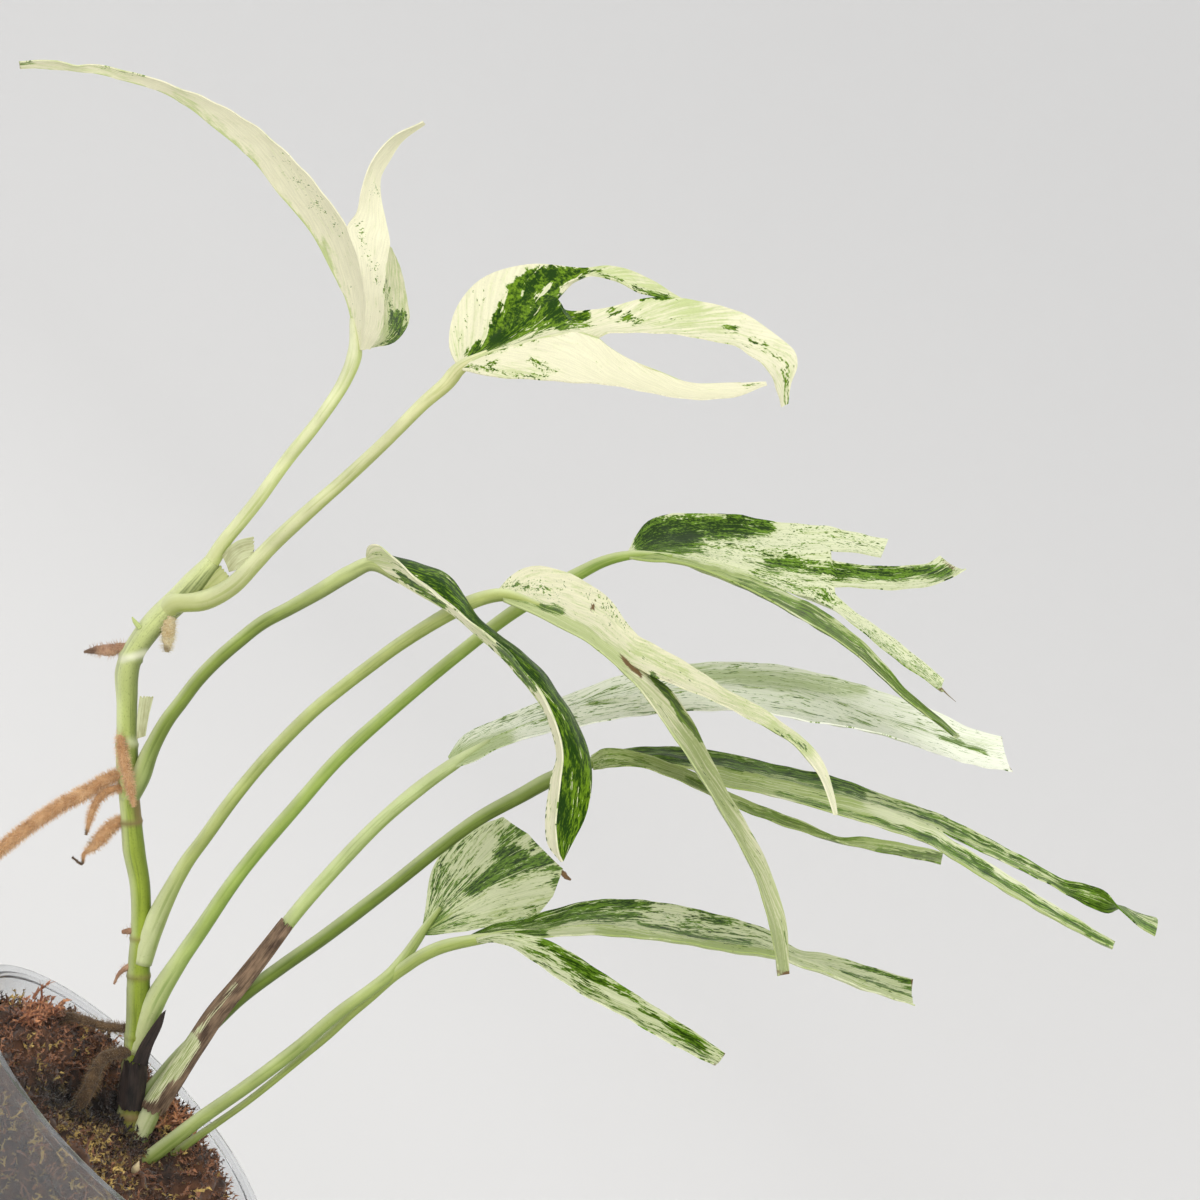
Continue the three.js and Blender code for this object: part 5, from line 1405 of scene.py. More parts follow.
# %% [markdown]
# The upper half is greener than the lower one, so the two strips add different amounts. The side lobe is
# laid as a sheet of its own, as on leaf g.
# %% Leaf h
H_MARKS = {
    "green": (0.3, [
        (480, 930, 560, 915, 9, 0.4), (560, 912, 645, 908, 12, 0.35), (690, 915, 790, 935, 14, 0.15),
        (640, 925, 690, 935, 1.7, 0.45), (690, 936, 752, 945, 1.6, 0.45), (470, 937, 545, 934, 4, 0.6),
        (840, 972, 912, 998, 2, 0.45), (830, 960, 912, 984, 1.6, 0.4), (640, 905, 680, 915, 6, -0.2),
        (800, 955, 840, 960, 14, -0.15),
    ]),
    "specks": (0.3, [(600, 905, 690, 925, 14, 0.15), (690, 920, 790, 940, 14, 0.1)]),
    "veil": (0.4, [(600, 933, 780, 955, 6, 0.5), (800, 950, 900, 985, 12, 0.2)]),
    "brown": (0, [(913, 980, 914, 1000, 2, 0.8)]),
}
H_SIDE_MARKS = {
    "green": (0.4, [
        (545, 945, 590, 972, 8, 0.3), (600, 978, 725, 1058, 5, 0.25), (610, 990, 660, 1020, 7, -0.3),
        (640, 1010, 700, 1045, 4, 0.3),
    ]),
    "veil": (0.35, []),
    "brown": (0, [(725, 1054, 714, 1065, 3, 0.5)]),
}
leaf_h = grow_blade(
    "leaf_h_blade", "green", [
        ((H_TOP,), (H_RIB,), {"green": 0.36, "veil": 0.25}),
        ((H_RIB,), (H_LOW,), {"green": 0.15, "veil": 0.45}),
    ],
    (110, 0), H_MARKS, arch=0.08, seen="upper", shift=25.9, flow=0.6, slant=0.12, grain=1.3, rib=1,
)
leaf_h_side = grow_blade(
    "leaf_h_side", "green", [((H_SIDE_TOP,), (H_SIDE_LOW,), {"green": 0.4, "veil": 0.3})],
    (80, 0), H_SIDE_MARKS, arch=0.08, seen="upper", shift=27.8, flow=0.5, slant=0.12, grain=1.3,
    rib_radii=None,
)
dress(leaf_h_side, "leaf_h", "green_streaked_leaf")
dress(leaf_h, "leaf_h", "green_streaked_leaf")
grow_petiole(
    "leaf_h", H_PETIOLE, H_PETIOLE_RADII, "green_streaked_leaf",
    foot=(150, 166, 84), middle=(160, 174, 96), blade_end=(168, 182, 102), line=(112, 134, 50),
)

# %% [markdown]
# Leaf i is young and has not spread yet. It stands as a fan of folds, so its rails run side by side from
# the foot to the rim, and the last one lies behind the others.
# %% Leaf i, drawn lines
I_FAN = [
    [
      (422, 930, -12), (426, 904, -17), (430, 876, -22), (438, 858, -25), (452, 841, -28),
      (474, 826, -31),
    ],
    [(423, 930, -12), (444, 893, -19), (468, 858, -25), (486, 836, -29), (503, 817, -33)],
    [(424, 931, -12), (450, 900, -19), (482, 868, -26), (506, 849, -30), (528, 834, -34)],
    [(425, 932, -12), (458, 910, -18), (498, 888, -25), (532, 876, -30), (563, 869, -34)],
    [(425, 933, -11), (460, 920, -15), (500, 908, -20), (530, 901, -24), (553, 896, -27)],
    [(426, 935, -10), (458, 932, -11), (497, 925, -14), (520, 919, -17), (537, 914, -20)],
    [(425, 934, -14), (446, 902, -31), (470, 873, -44), (496, 859, -52), (520, 856, -56)],
]
I_PETIOLE = [
    (112, 1172, -2), (142, 1162, 2), (170, 1142, 3), (200, 1119, 3), (250, 1084, 2), (300, 1046, 1),
    (340, 1012, 1), (370, 990, 0), (390, 974, -2), (405, 957, -5), (417, 940, -9), (425, 928, -12),
    (440, 908, -16),
]
I_PETIOLE_RADII = [2.4, 2.4, 2.3, 2.2, 2.1, 2.1, 2.1, 2, 1.9, 1.8, 1.8, 1.5, 0.8]

print("leaf i: its rib's rail is", rail_length((I_FAN[3],)), "mm long")

# %% [markdown]
# Neighbouring rails make the strips, so a short loop lists them. The grain is fine here, because the veins
# of a young leaf lie close together.
# %% Leaf i
I_MARKS = {
    "green": (0.4, [
        (470, 890, 515, 850, 8, 0.2), (500, 850, 520, 828, 9, 0.35), (520, 868, 545, 860, 10, 0.35),
        (470, 890, 510, 872, 6, 0.35), (435, 900, 445, 870, 6, 0.15), (480, 905, 540, 885, 12, -0.2),
        (490, 845, 480, 860, 8, -0.2), (555, 872, 558, 890, 6, 0.2), (425, 930, 440, 915, 8, 0.3),
    ]),
    "specks": (0.36, []),
    "veil": (0.2, [(500, 912, 540, 905, 12, 0.3), (425, 930, 440, 920, 12, 0.5)]),
    "brown": (0, [(545, 850, 562, 869, 2.5, 0.5)]),
}
I_STRIPS = [((I_FAN[k],), (I_FAN[k + 1],), {}) for k in range(len(I_FAN) - 1)]
leaf_i = grow_blade(
    "leaf_i_blade", "green", I_STRIPS,
    (60, 0), I_MARKS, arch=0.05, seen="under", shift=29.6, flow=0.42, slant=0.0, grain=2.3, rib=3,
)
dress(leaf_i, "leaf_i", "pale_leaf")
grow_petiole(
    "leaf_i", I_PETIOLE, I_PETIOLE_RADII, "pale_leaf",
    foot=(150, 166, 88), middle=(162, 176, 102), blade_end=(172, 186, 112), line=(104, 130, 44),
)

# %% [markdown]
# The stem is the trunk of the plant. It is ringed where old leaves stood, and a little thicker at each
# ring.
# %% Stem
STEM_PATH = [
    (72, 1216, -10), (104, 1186, -8), (126, 1150, -6), (128, 1118, -6), (132, 1080, -6), (136, 1040, -5),
    (138, 1000, -4), (139, 960, -3), (141, 930, -3), (140, 885, -2), (134, 850, -2), (131, 815, -1),
    (128, 780, -1), (127, 742, 0), (127, 700, 0), (127, 672, 0), (132, 655, 0), (144, 636, 0),
    (158, 619, 0), (178, 600, 0), (198, 578, 1), (213, 561, 1),
]
STEM_RADII = [
    2.6, 3.2, 3.5, 3.6, 3.5, 3.5, 3.5, 3.6, 3.4, 3.6, 3.3, 3.1, 3, 3.1, 3.4, 3.1, 3.1, 3.4, 3.1, 3.1, 3.6,
    3.4, 3.7, 3.8, 3.6, 2.6,
]
STEM_RINGS = {
    0.18: 0.7, 0.25: 0.5, 0.295: 0.2, 0.381: 0.6, 0.433: 0.6, 0.597: 0.9, 0.703: 0.15, 0.824: 0,
}
RING_WIDTH = 0.0035
RING_HEIGHT = 0.35 * MM
STEM_UNEVENNESS = 0.02 * MM
STEM_STEPS = 300
STEM_SIDES = 32


def ringed(size, angle, share):
    """A radius with a ring at each share in the list, and a slight unevenness."""
    rings = sum(np.exp(-(((share - at) / RING_WIDTH) ** 2)) for at in STEM_RINGS)
    return size + RING_HEIGHT * rings + STEM_UNEVENNESS * np.sin(3 * angle + 9 * share)


stem = tube("stem", even(smooth(STEM_PATH), STEM_STEPS), STEM_RADII, STEM_SIDES, ringed)
print("the stem is", rail_length((STEM_PATH,)), "mm long and has", len(STEM_RINGS), "rings")

# %% [markdown]
# The rings are brown scars, and a few more scars and pale places lie between them. They are painted as
# strokes, like the green of a leaf. The last scar stroke darkens the stem's foot above the moss as painted
# shade.
# %% Stem colours
STEM_SCARS_AND_SHADE = [
    (137, 792, 139, 814, 6, 0.9), (146, 930, 146, 940, 4, 0.5), (132, 1095, 126, 1150, 14, 0.55),
]
STEM_PALE_PLACES = [(123, 659, 146, 653, 4, 0.95), (128, 742, 136, 742, 5, 0.4)]
SCAR_WIDTH = 1.2 * RING_WIDTH

share = read_attribute(stem, "along")
scars_and_shade = sum(brown * np.exp(-(((share - at) / SCAR_WIDTH) ** 2)) for at, brown in STEM_RINGS.items())
scars_and_shade = scars_and_shade + painted(read_points(stem), 0, STEM_SCARS_AND_SHADE)
set_attribute(stem, "scar_and_shade", np.clip(scars_and_shade, 0, 1))
set_attribute(stem, "pale", np.clip(painted(read_points(stem), 0, STEM_PALE_PLACES), 0, 1))
# The dark foot colour is painted shade where the stem sinks into the moss, and the dark line colour gives
# the painted shade along one side.
stem_green = stalk_material("stem", (70, 88, 30), (148, 166, 54), (204, 212, 146), (70, 90, 26), 0.45)
dress(stem, "stem", "green_stem", stem_green)

# %% [markdown]
# Aerial roots are furry: a soft brown felt of short hairs covers all but the youngest tip. Moss has the
# same dull, uneven brown, so both share one effect.
# %% Fuzz
FUZZ_PATCHES = ((250, 250, 250), 5.5, 3)
FUZZ_GRAIN = ((2500, 2500, 2500), 2.5, 3)
DEEP_SHADE_COLOUR = colour(16, 11, 8)

fuzz, given, made = new_group(
    "fuzz",
    [
        ("Space", "Vector", None), ("Tint", "Float", 0.5), ("Dark Colour", "Color", colour(120, 84, 50)),
        ("Light Colour", "Color", colour(205, 170, 120)), ("Shade", "Float", 0.0),
    ],
    [("Color", "Color"), ("Height", "Float")],
)
tree = fuzz
patches = math_node(tree, "MULTIPLY", noise(tree, given["Space"], *FUZZ_PATCHES), 0.8)
grain = noise(tree, given["Space"], *FUZZ_GRAIN)
value = math_node(tree, "MULTIPLY_ADD", given["Tint"], 0.5, patches)
value = math_node(tree, "MULTIPLY_ADD", grain, 0.4, value)
lit = mix_colours(tree, ramp(tree, value, 0.45, 1.2), given["Dark Colour"], given["Light Colour"])
wire(tree, made["Color"], mix_colours(tree, given["Shade"], lit, DEEP_SHADE_COLOUR))
wire(tree, made["Height"], grain)


def fuzzy_material(name, dark, light, roughness=0.9):
    material, tree, shader = new_material(name, roughness, Sheen_Weight=0.3, Sheen_Roughness=0.5)
    made = use_group(
        tree, fuzz, Space=space_of(tree), Tint=attribute(tree, "tint"), Dark_Colour=colour(*dark),
        Light_Colour=colour(*light), Shade=attribute(tree, "shade"),
    )
    colour_and_bump(tree, shader, made, 0.5)
    return material


print("fuzz group:", len(tree.nodes), "nodes")

# %% [markdown]
# Roots differ in age. Old ones are felted, a young one is pale and almost bare, and those that run into
# the moss are dark.
# %% Root materials
ROOT_LOOKS = {
    "felted": ((176, 130, 84), (228, 190, 144), (196, 150, 102), (240, 208, 164), 1.0),
    "buried": ((58, 42, 26), (124, 98, 66), (92, 70, 44), (150, 122, 84), 0.35),
    "young": ((186, 160, 112), (232, 224, 186), (206, 190, 146), (240, 232, 204), 0.3),
    "dark": ((146, 108, 82), (210, 172, 138), (160, 124, 94), (214, 180, 144), 0.2),
}
root_materials = {
    look: [fuzzy_material(f"root_{look}", *shades[:2]), fuzzy_material(f"root_hair_{look}", *shades[2:4])]
    for look, shades in ROOT_LOOKS.items()
}
print("root looks:", ", ".join(ROOT_LOOKS))

# %% [markdown]
# A hair is a three-sided spike. It is modelled once, and copies are scattered over the root, each turned
# along a direction of its own.
# %% Root hair
HAIR_LENGTH = 1.8 * MM
HAIR_RADIUS = 0.07 * MM


def make_hair():
    """One hair that stands on the origin."""
    bpy.ops.object.select_all(action="DESELECT")
    bpy.ops.mesh.primitive_cone_add(
        vertices=3, radius1=HAIR_RADIUS, radius2=0, depth=HAIR_LENGTH, location=(0, 0, HAIR_LENGTH / 2)
    )
    hair = bpy.context.active_object
    bpy.ops.object.transform_apply(location=True, rotation=True, scale=True)
    return hair


def pointing(direction, roll_angle):
    """Turns that point +Z along each direction, rolled about it."""
    z = direction / np.linalg.norm(direction, axis=1)[:, None]
    helper = np.where(np.abs(z[:, 2:3]) < 0.9, np.array([[0, 0, 1.0]]), np.array([[1.0, 0, 0]]))
    x = np.cross(helper, z)
    x /= np.linalg.norm(x, axis=1)[:, None]
    y = np.cross(z, x)
    c, s = np.cos(roll_angle)[:, None], np.sin(roll_angle)[:, None]
    return np.stack([c * x + s * y, c * y - s * x, z], axis=-1)


def stand_on(places, direction, size, rng):
    """Matrices that stand a copy on each place, along its direction and turned at random."""
    matrices = np.zeros((len(places), 4, 4))
    turn = pointing(direction, rng.uniform(0, 2 * math.pi, len(places)))
    matrices[:, :3, :3] = turn * np.asarray(size)[:, None, None]
    matrices[:, :3, 3] = places
    matrices[:, 3, 3] = 1
    return matrices


print("a hair is", HAIR_LENGTH / MM, "mm long")

# %% [markdown]
# Ten roots leave the stem, and some of them end in the moss. Each is drawn with a few points and the radii
# along it, in millimetres.
# %% Roots, drawn lines
ROOTS = {
    "root_top_tip": ("dark", [
        (134, 647, 0), (120, 648, 0), (110, 650, 0), (98, 650, 0), (84, 652, 0),
    ], [1.5, 1.8, 2.2, 1.5, 0.4]),
    "root_top_stub": ("young", [
        (168, 606, 1), (168, 624, 1), (168, 638, 1), (167, 652, 1),
    ], [2.2, 2.6, 2.6, 2, 0.8]),
    "root_on_stem": ("felted", [
        (124, 730, 0), (121, 742, 3.4), (123, 756, 4.7), (128, 780, 4.7), (134, 807, 4.4),
    ], [1.2, 1.4, 1.5, 1.2, 0.5]),
    "root_long": ("felted", [
        (130, 772, 0), (112, 777, 1), (86, 792, 2), (60, 806, 3), (30, 826, 4), (0, 850, 5), (-28, 870, 4),
        (-46, 888, 3),
    ], [1.6, 1.9, 2.1, 2.1, 2, 2, 1.8, 1.4, 0.5]),
    "root_branch": ("felted", [
        (128, 788, 0), (112, 789, 2), (100, 797, 2), (92, 812, 2), (86, 835, 2),
    ], [1.2, 1.2, 1.3, 1.1, 0.9, 0.4]),
    "root_fork": ("felted", [
        (132, 818, -1), (118, 822, -1), (106, 832, 0), (94, 846, 1), (84, 854, 1), (82, 864, 1),
        (72, 857, 1),
    ], [1.4, 1.6, 2, 2.1, 1.5, 0.6, 0.4, 0.35]),
    "root_collar_stub": ("dark", [(140, 931, -3), (130, 931, -2), (122, 932, -2)], [1.2, 1.3, 1.1, 0.7]),
    "root_collar_hook": ("dark", [
        (138, 965, -3), (128, 967, -2), (119, 974, -2), (114, 984, -2),
    ], [1.3, 1.2, 0.9, 0.6, 0.4]),
    "root_into_mound": ("buried", [
        (137, 1028, -5), (118, 1028, -5), (100, 1025, -5), (82, 1019, -5), (66, 1017, -6), (56, 1025, -7),
    ], [1.6, 1.6, 1.5, 1.5, 1.6, 1.5]),
    "root_into_hollow": ("buried", [
        (138, 1050, -4), (120, 1053, -2), (105, 1057, 0), (96, 1070, 2), (90, 1086, 3), (80, 1104, 4),
        (66, 1122, 5), (50, 1138, 5),
    ], [2, 2, 2.2, 2.4, 2.3, 2, 1.8]),
}
ROOT_TIPS = [
    (66, 852, 82, 864, 4, 0.85), (85, 832, 87, 840, 4, 0.7), (84, 652, 93, 651, 5, 0.6),
    (166, 649, 168, 655, 4, 0.5),
]
print("roots:", len(ROOTS))

# %% [markdown]
# The core of a root is a stalk with a lumpy radius. Its hairs grow all round it, in numbers that follow
# from its length and girth, and they are shorter where the root is thin.
# %% Roots
ROOT_SIDES = 14
ROOT_STEPS = 90
CORE_SHARE = 0.85
HAIRS_PER_MM2 = 12
HAIR_FOOT_SHARE = 0.8
HAIR_LEAN = 0.6
HAIR_SCATTER = 0.25
HAIR_SIZES = (0.5, 1.1)
FULL_HAIR_RADIUS = 1.2 * MM


def on_path(path, at):
    """Points at fractional steps of a path, and the whole steps below them."""
    i = at.astype(int)
    rest = (at - i)[..., None]
    return path[i] * (1 - rest) + path[i + 1] * rest, i


def lumpy(size, angle, share):
    """A radius with shallow lumps along and round the stalk."""
    return size * (1 + 0.07 * np.sin(40 * share + 2 * angle) + 0.05 * np.sin(93 * share - 3 * angle))


def grow_root(name, look, drawn, radii, rng, hair):
    """A lumpy core with hairs that stand out from it and lean towards its tip."""
    path = even(smooth(drawn), ROOT_STEPS)
    body = tube(f"{name}_core", path, [r * CORE_SHARE for r in radii], ROOT_SIDES, lumpy)
    set_attribute(body, "tint", rng.random(len(body.data.vertices)) * 0.4)
    ahead, front, beside = frames(path)
    girth = 2 * math.pi * np.mean(radii) * MM
    count = int(along_of(path)[-1] * girth / MM**2 * HAIRS_PER_MM2 * ROOT_LOOKS[look][4])
    at = rng.uniform(0, len(path) - 1.001, count)
    centre, i = on_path(path, at)
    angle = rng.uniform(0, 2 * math.pi, count)
    radius = blend(radii, at / (len(path) - 1)) * MM
    out = front[i] * np.cos(angle)[:, None] + beside[i] * np.sin(angle)[:, None]
    lean = ahead[i] * rng.uniform(0.0, HAIR_LEAN, count)[:, None]
    lean = out + lean + rng.normal(0, HAIR_SCATTER, (count, 3))
    size = rng.uniform(*HAIR_SIZES, count) * np.clip(radius / FULL_HAIR_RADIUS, 0.3, 1)
    stands = stand_on(centre + out * radius[:, None] * HAIR_FOOT_SHARE, lean, size, rng)
    hairs = scatter(f"{name}_hairs", hair, stands, rng)
    for part, material in zip((body, hairs), root_materials[look]):
        set_attribute(part, "shade", painted(read_points(part), 0, ROOT_TIPS))
        dress(part, name, "aerial_root", material)


hair = make_hair()
rng = np.random.default_rng(7)
for name, (look, drawn, radii) in ROOTS.items():
    grow_root(name, look, drawn, radii, rng, hair)
discard(hair)

# %% [markdown]
# Each young leaf came out of a sheath, which then dries and tears. What is left of it is fibrous: fine
# threads lie in broad patches of brown.
# %% Dry fibres
FIBRE_NOISE = ((40, 1.5, 1), 3.3, 4, 0.6)
FIBRE_PATCHES = ((5, 2, 1), 13.3, 3)
LIVING_COLOURS = (colour(138, 156, 78), colour(216, 218, 176))

dry, given, made = new_group(
    "dry_fibres",
    [
        ("Space", "Vector", None), ("Dark Colour", "Color", colour(70, 50, 36)),
        ("Light Colour", "Color", colour(170, 140, 110)), ("Fresh", "Float", 0.0),
    ],
    [("Color", "Color"), ("Height", "Float")],
)
tree = dry
fibres = noise(tree, given["Space"], *FIBRE_NOISE)
patches = math_node(tree, "MULTIPLY", noise(tree, given["Space"], *FIBRE_PATCHES), 0.7)
value = math_node(tree, "ADD", math_node(tree, "MULTIPLY", fibres, 0.7), patches)
withered = mix_colours(tree, ramp(tree, value, 0.45, 0.95), given["Dark Colour"], given["Light Colour"])
living = mix_colours(tree, ramp(tree, fibres, 0.35, 0.6), *LIVING_COLOURS)
fresh = ramp(tree, math_node(tree, "MULTIPLY_ADD", fibres, 0.9, given["Fresh"]), 0.85, 0.95)
wire(tree, made["Color"], mix_colours(tree, fresh, withered, living))
wire(tree, made["Height"], fibres)


def dry_material(name, dark, light, roughness=0.8):
    material, tree, shader = new_material(name, roughness)
    made = use_group(
        tree, dry, Space=uv_of(tree), Dark_Colour=colour(*dark), Light_Colour=colour(*light),
        Fresh=attribute(tree, "fresh"),
    )
    colour_and_bump(tree, shader, made, 0.6, 0.4 * MM)
    return material


print("fibre group:", len(tree.nodes), "nodes")

# %% [markdown]
# A wrap lies loosely round a stalk, between two ragged edges. It starts as a grid again: its rows are rings
# round the stalk, and both its ends are frayed by moving the edge points along it.
# %% Wraps and flaps
SHEATH_GAP = 0.65
SHEATH_FLARE = 0.1
SHEATH_THICKNESS = 0.35 * MM
WRAP_STEPS = 400
FLAP_STEPS = 40
FLAP_ROWS = 16
FLAP_FRAY = 0.4 * MM


def wrap(name, drawn, radii, start, end, start_angles, end_angles, rows=60, columns=36, fray=3, seed=1):
    """A sheath round a stalk from one share of its length to another, between two edges in degrees."""
    rng = np.random.default_rng(seed)
    path = even(smooth(drawn), WRAP_STEPS)
    front, beside = frames(path)[1:]
    low_fray = np.abs(rng.normal(0, fray, columns + 1)) / WRAP_STEPS
    high_fray = np.abs(rng.normal(0, fray, columns + 1)) / WRAP_STEPS
    up = np.linspace(0, 1, rows + 1)[:, None]
    share = (start + low_fray) * (1 - up) + (end - high_fray) * up
    centre, i = on_path(path, np.clip(share * WRAP_STEPS, 0, WRAP_STEPS - 0.01))
    across = np.linspace(0, 1, columns + 1)[None]
    angle = np.radians(blend(start_angles, up) * (1 - across) + blend(end_angles, up) * across)
    crease = 0.12 * np.sin(7 * across * math.pi + 3 * up) + 0.08 * np.sin(23 * across + 11 * up)
    radius = (blend(radii, share) + SHEATH_GAP + SHEATH_FLARE * up + crease) * MM
    out = front[i] * np.cos(angle)[..., None] + beside[i] * np.sin(angle)[..., None]
    uv = np.stack([radius * angle / CM, along_of(path)[i] / CM], axis=-1)
    return lay_sheet(name, centre + out * radius[..., None], uv)[0]


def flap(name, left, right, arch):
    """A small arched sheet between two drawn edges, frayed at its far end."""
    rng = np.random.default_rng(1)
    a, b = even(smooth(left), FLAP_STEPS), even(smooth(right), FLAP_STEPS)
    points, width, share = arched(a, b, FLAP_ROWS, arch)
    onward = (a[-1] - a[-2]) / np.linalg.norm(a[-1] - a[-2])
    points[-1] += rng.normal(0, FLAP_FRAY, (FLAP_ROWS + 1, 1)) * onward
    along = np.repeat(along_of(a)[:, None], FLAP_ROWS + 1, axis=1)
    uv = np.stack([share[None] * width[:, None] / CM, along / CM], axis=-1)
    return lay_sheet(name, points, uv)[0]


def finish_sheath(piece, node, slot, material, thickness=SHEATH_THICKNESS):
    """Gives a sheet its thickness, smooths it and dresses it."""
    finish_with(piece, "SOLIDIFY", thickness=thickness, offset=0)
    only(piece)
    bpy.ops.object.shade_smooth_by_angle(angle=CREASE_ANGLE)
    dress(piece, node, slot, material)


print("a sheath is", SHEATH_THICKNESS / MM, "mm thick")

# %% [markdown]
# The largest sheath stands round petiole f and opens upwards. Its brown is dry, and its foot still has some
# green in it.
# %% Sheath of petiole f
F_SHEATH_ENDS = (0.1, 0.52)
F_SHEATH_START_ANGLES = [-120, -95, -70, -60]
F_SHEATH_END_ANGLES = [120, 110, 70, 45]
F_SHEATH_FRESH = [
    (150, 1092, 186, 1040, 13, 0.75), (176, 1075, 196, 1046, 8, 0.3), (200, 1030, 236, 984, 4, 0.45),
]
brown_sheath = dry_material("brown_sheath", (66, 48, 36), (150, 124, 98))
wrapped = wrap(
    "sheath_petiole_f", F_PETIOLE, F_PETIOLE_RADII, *F_SHEATH_ENDS, F_SHEATH_START_ANGLES,
    F_SHEATH_END_ANGLES,
)
set_attribute(wrapped, "fresh", painted(read_points(wrapped), 0, F_SHEATH_FRESH))
finish_sheath(wrapped, "sheath_petiole_f", "dry_sheath", brown_sheath)

# %% [markdown]
# The sheath at the foot of the stem is black and dead. A band goes round the stem, and a tongue of it
# points up to the right.
# %% Sheath at the stem's foot
FOOT_SHEATH_ENDS = (0.19, 0.265)
FOOT_SHEATH_START_ANGLES = [-60, -35]
FOOT_SHEATH_END_ANGLES = [125, 80]
TONGUE_LEFT = [(132, 1062, 1), (139, 1047, 1.3), (149, 1031, 1.3), (160, 1016, 1)]
TONGUE_RIGHT = [(147, 1066, 0), (153, 1046, 0), (162, 1026, 0), (166, 1010, 0.5)]
black_sheath = dry_material("black_sheath", (16, 12, 11), (58, 46, 40))
band = wrap(
    "sheath_band", STEM_PATH, STEM_RADII, *FOOT_SHEATH_ENDS, FOOT_SHEATH_START_ANGLES,
    FOOT_SHEATH_END_ANGLES, rows=30, columns=30, fray=1.5, seed=2,
)
tongue = flap("sheath_tongue", TONGUE_LEFT, TONGUE_RIGHT, 0.05)
finish_sheath(join("sheath_stem_foot", [band, tongue]), "sheath_stem_foot", "black_sheath", black_sheath)

# %% [markdown]
# Three small flaps are left: the papery end of a sheath where the top petioles part, the wing along the
# foot of petiole b, and the dry cone in the axil of petiole c. Each is drawn with its two edges.
# %% Small flaps
TOP_LEFT = [(222, 556, 3), (230, 546, 3.4), (240, 540, 3.4), (253, 537, 3)]
TOP_RIGHT = [(229, 572, 2.4), (238, 569, 2.6), (247, 564, 2.6), (254, 556, 2.4)]
WING_LEFT = [(176, 604, 1.2), (194, 590, 1.6), (208, 577, 1.6), (220, 566, 1.2)]
WING_RIGHT = [(186, 611, 1.8), (205, 604, 2.2), (219, 593, 2.2), (231, 580, 1.6)]
WING_THICKNESS = 1.2 * MM
AXIL_LEFT = [(136.5, 739, 1.6), (137, 720, 1.6), (139.5, 697, 1.4)]
AXIL_RIGHT = [(145, 736, 2.4), (148, 718, 2.6), (153, 697, 2.6)]
papery = dry_material("papery_sheath", (160, 160, 112), (206, 210, 166), 0.6)
top_flap = flap("sheath_top", TOP_LEFT, TOP_RIGHT, 0.12)
finish_sheath(top_flap, "sheath_top", "papery_sheath", papery)
wing = flap("leaf_b_wing", WING_LEFT, WING_RIGHT, 0.12)
finish_sheath(wing, "leaf_b", "half_green_leaf", petiole_b.data.materials[0], WING_THICKNESS)
axil_flap = flap("sheath_axil_c", AXIL_LEFT, AXIL_RIGHT, 0.15)
finish_sheath(axil_flap, "sheath_axil_c", "papery_sheath", papery)

# %% [markdown]
# Damp sphagnum fills the pot and is heaped up round the stem. Its surface is a level with a few mounds and
# one hollow, and it sinks towards the wall.
# %% Moss heaps
POT_BASE_RADIUS = 45
POT_LIP_REACH = 2.4
POT_WALL = 1.2
POT_FLOOR = 2
MOSS_LEVEL = -6
MOSS_WAVE = 1.1
MOSS_EDGE_DROP = 5
MOSS_EDGE_START = 34
MOSS_EDGE_WIDTH = 20
MOUNDS = [
    ((-31, 5), 11, 9.5), ((30, 5), 9, 14), ((9, 26), 12, 11), ((-22, 28), 13, 7), ((-11, -1), 7, -9),
]
rim_radius = POT_RIM_RADIUS / MM
pot_height = POT_HEIGHT / MM


def pot_inside(z):
    """The inner radius of the pot at a height, both in millimetres."""
    slope = (rim_radius - POT_LIP_REACH - POT_BASE_RADIUS) / pot_height
    return POT_BASE_RADIUS - POT_WALL + slope * z


def moss_height(x, y):
    """How high the moss lies at a place, in millimetres."""
    z = pot_height + MOSS_LEVEL + 0 * x
    for (mx, my), spread, height in MOUNDS:
        z = z + height * np.exp(-((x - mx) ** 2 + (y - my) ** 2) / (2 * spread**2))
    edge = np.clip((np.hypot(x, y) - MOSS_EDGE_START) / MOSS_EDGE_WIDTH, 0, 1)
    z = z - MOSS_EDGE_DROP * edge**2 * (3 - 2 * edge)
    return z + MOSS_WAVE * (np.sin(0.43 * x + 0.9) * np.cos(0.37 * y) + np.sin(0.29 * (x + y)))


print("the moss is", round(float(moss_height(0, 0))), "mm high in the middle")

# %% [markdown]
# Under the shag lies a lumpy body, which hides the gaps between the strands. It is a grid in rings: they
# spread over the top, run down the wall and close above the pot's floor.
# %% Moss body
RINGS = 44
WALL_RINGS = 29
SECTORS = 150
MOSS_WALL_GAP = 1.5
SHAG_DEPTH = 1.2


def moss_rings():
    """The rings of the moss body, from its middle over the top and down to the pot's floor."""
    turns = np.linspace(0, 2 * math.pi, SECTORS + 1)
    rows = []
    for k in range(RINGS + 1):
        reach = (pot_inside(pot_height) - MOSS_WALL_GAP) * k / RINGS
        x, y = reach * np.cos(turns), reach * np.sin(turns)
        z = moss_height(x, y) - SHAG_DEPTH
        limit = pot_inside(np.minimum(z, pot_height)) - MOSS_WALL_GAP
        keep = np.minimum(1, limit / max(reach, 1e-6))
        rows.append(np.stack([x * keep, y * keep, z], axis=-1))
    low = POT_FLOOR + 1
    top = rows[RINGS][:, 2]
    for share in np.linspace(1, 0, WALL_RINGS + 1)[1:]:
        level = low + (top - low) * share
        reach = pot_inside(level) - MOSS_WALL_GAP
        rows.append(np.stack([reach * np.cos(turns), reach * np.sin(turns), level], axis=-1))
    for share in (0.5, 0.0):
        rows.append(rows[-1] * np.array([share, share, 1]))
    rows = np.array(rows) * MM
    rows[:, -1] = rows[:, 0]
    return rows


moss = lay_sheet("moss", moss_rings())[0]
in_edit_mode(moss, weld, face_outwards)
print("moss body:", len(moss.data.polygons), "faces")

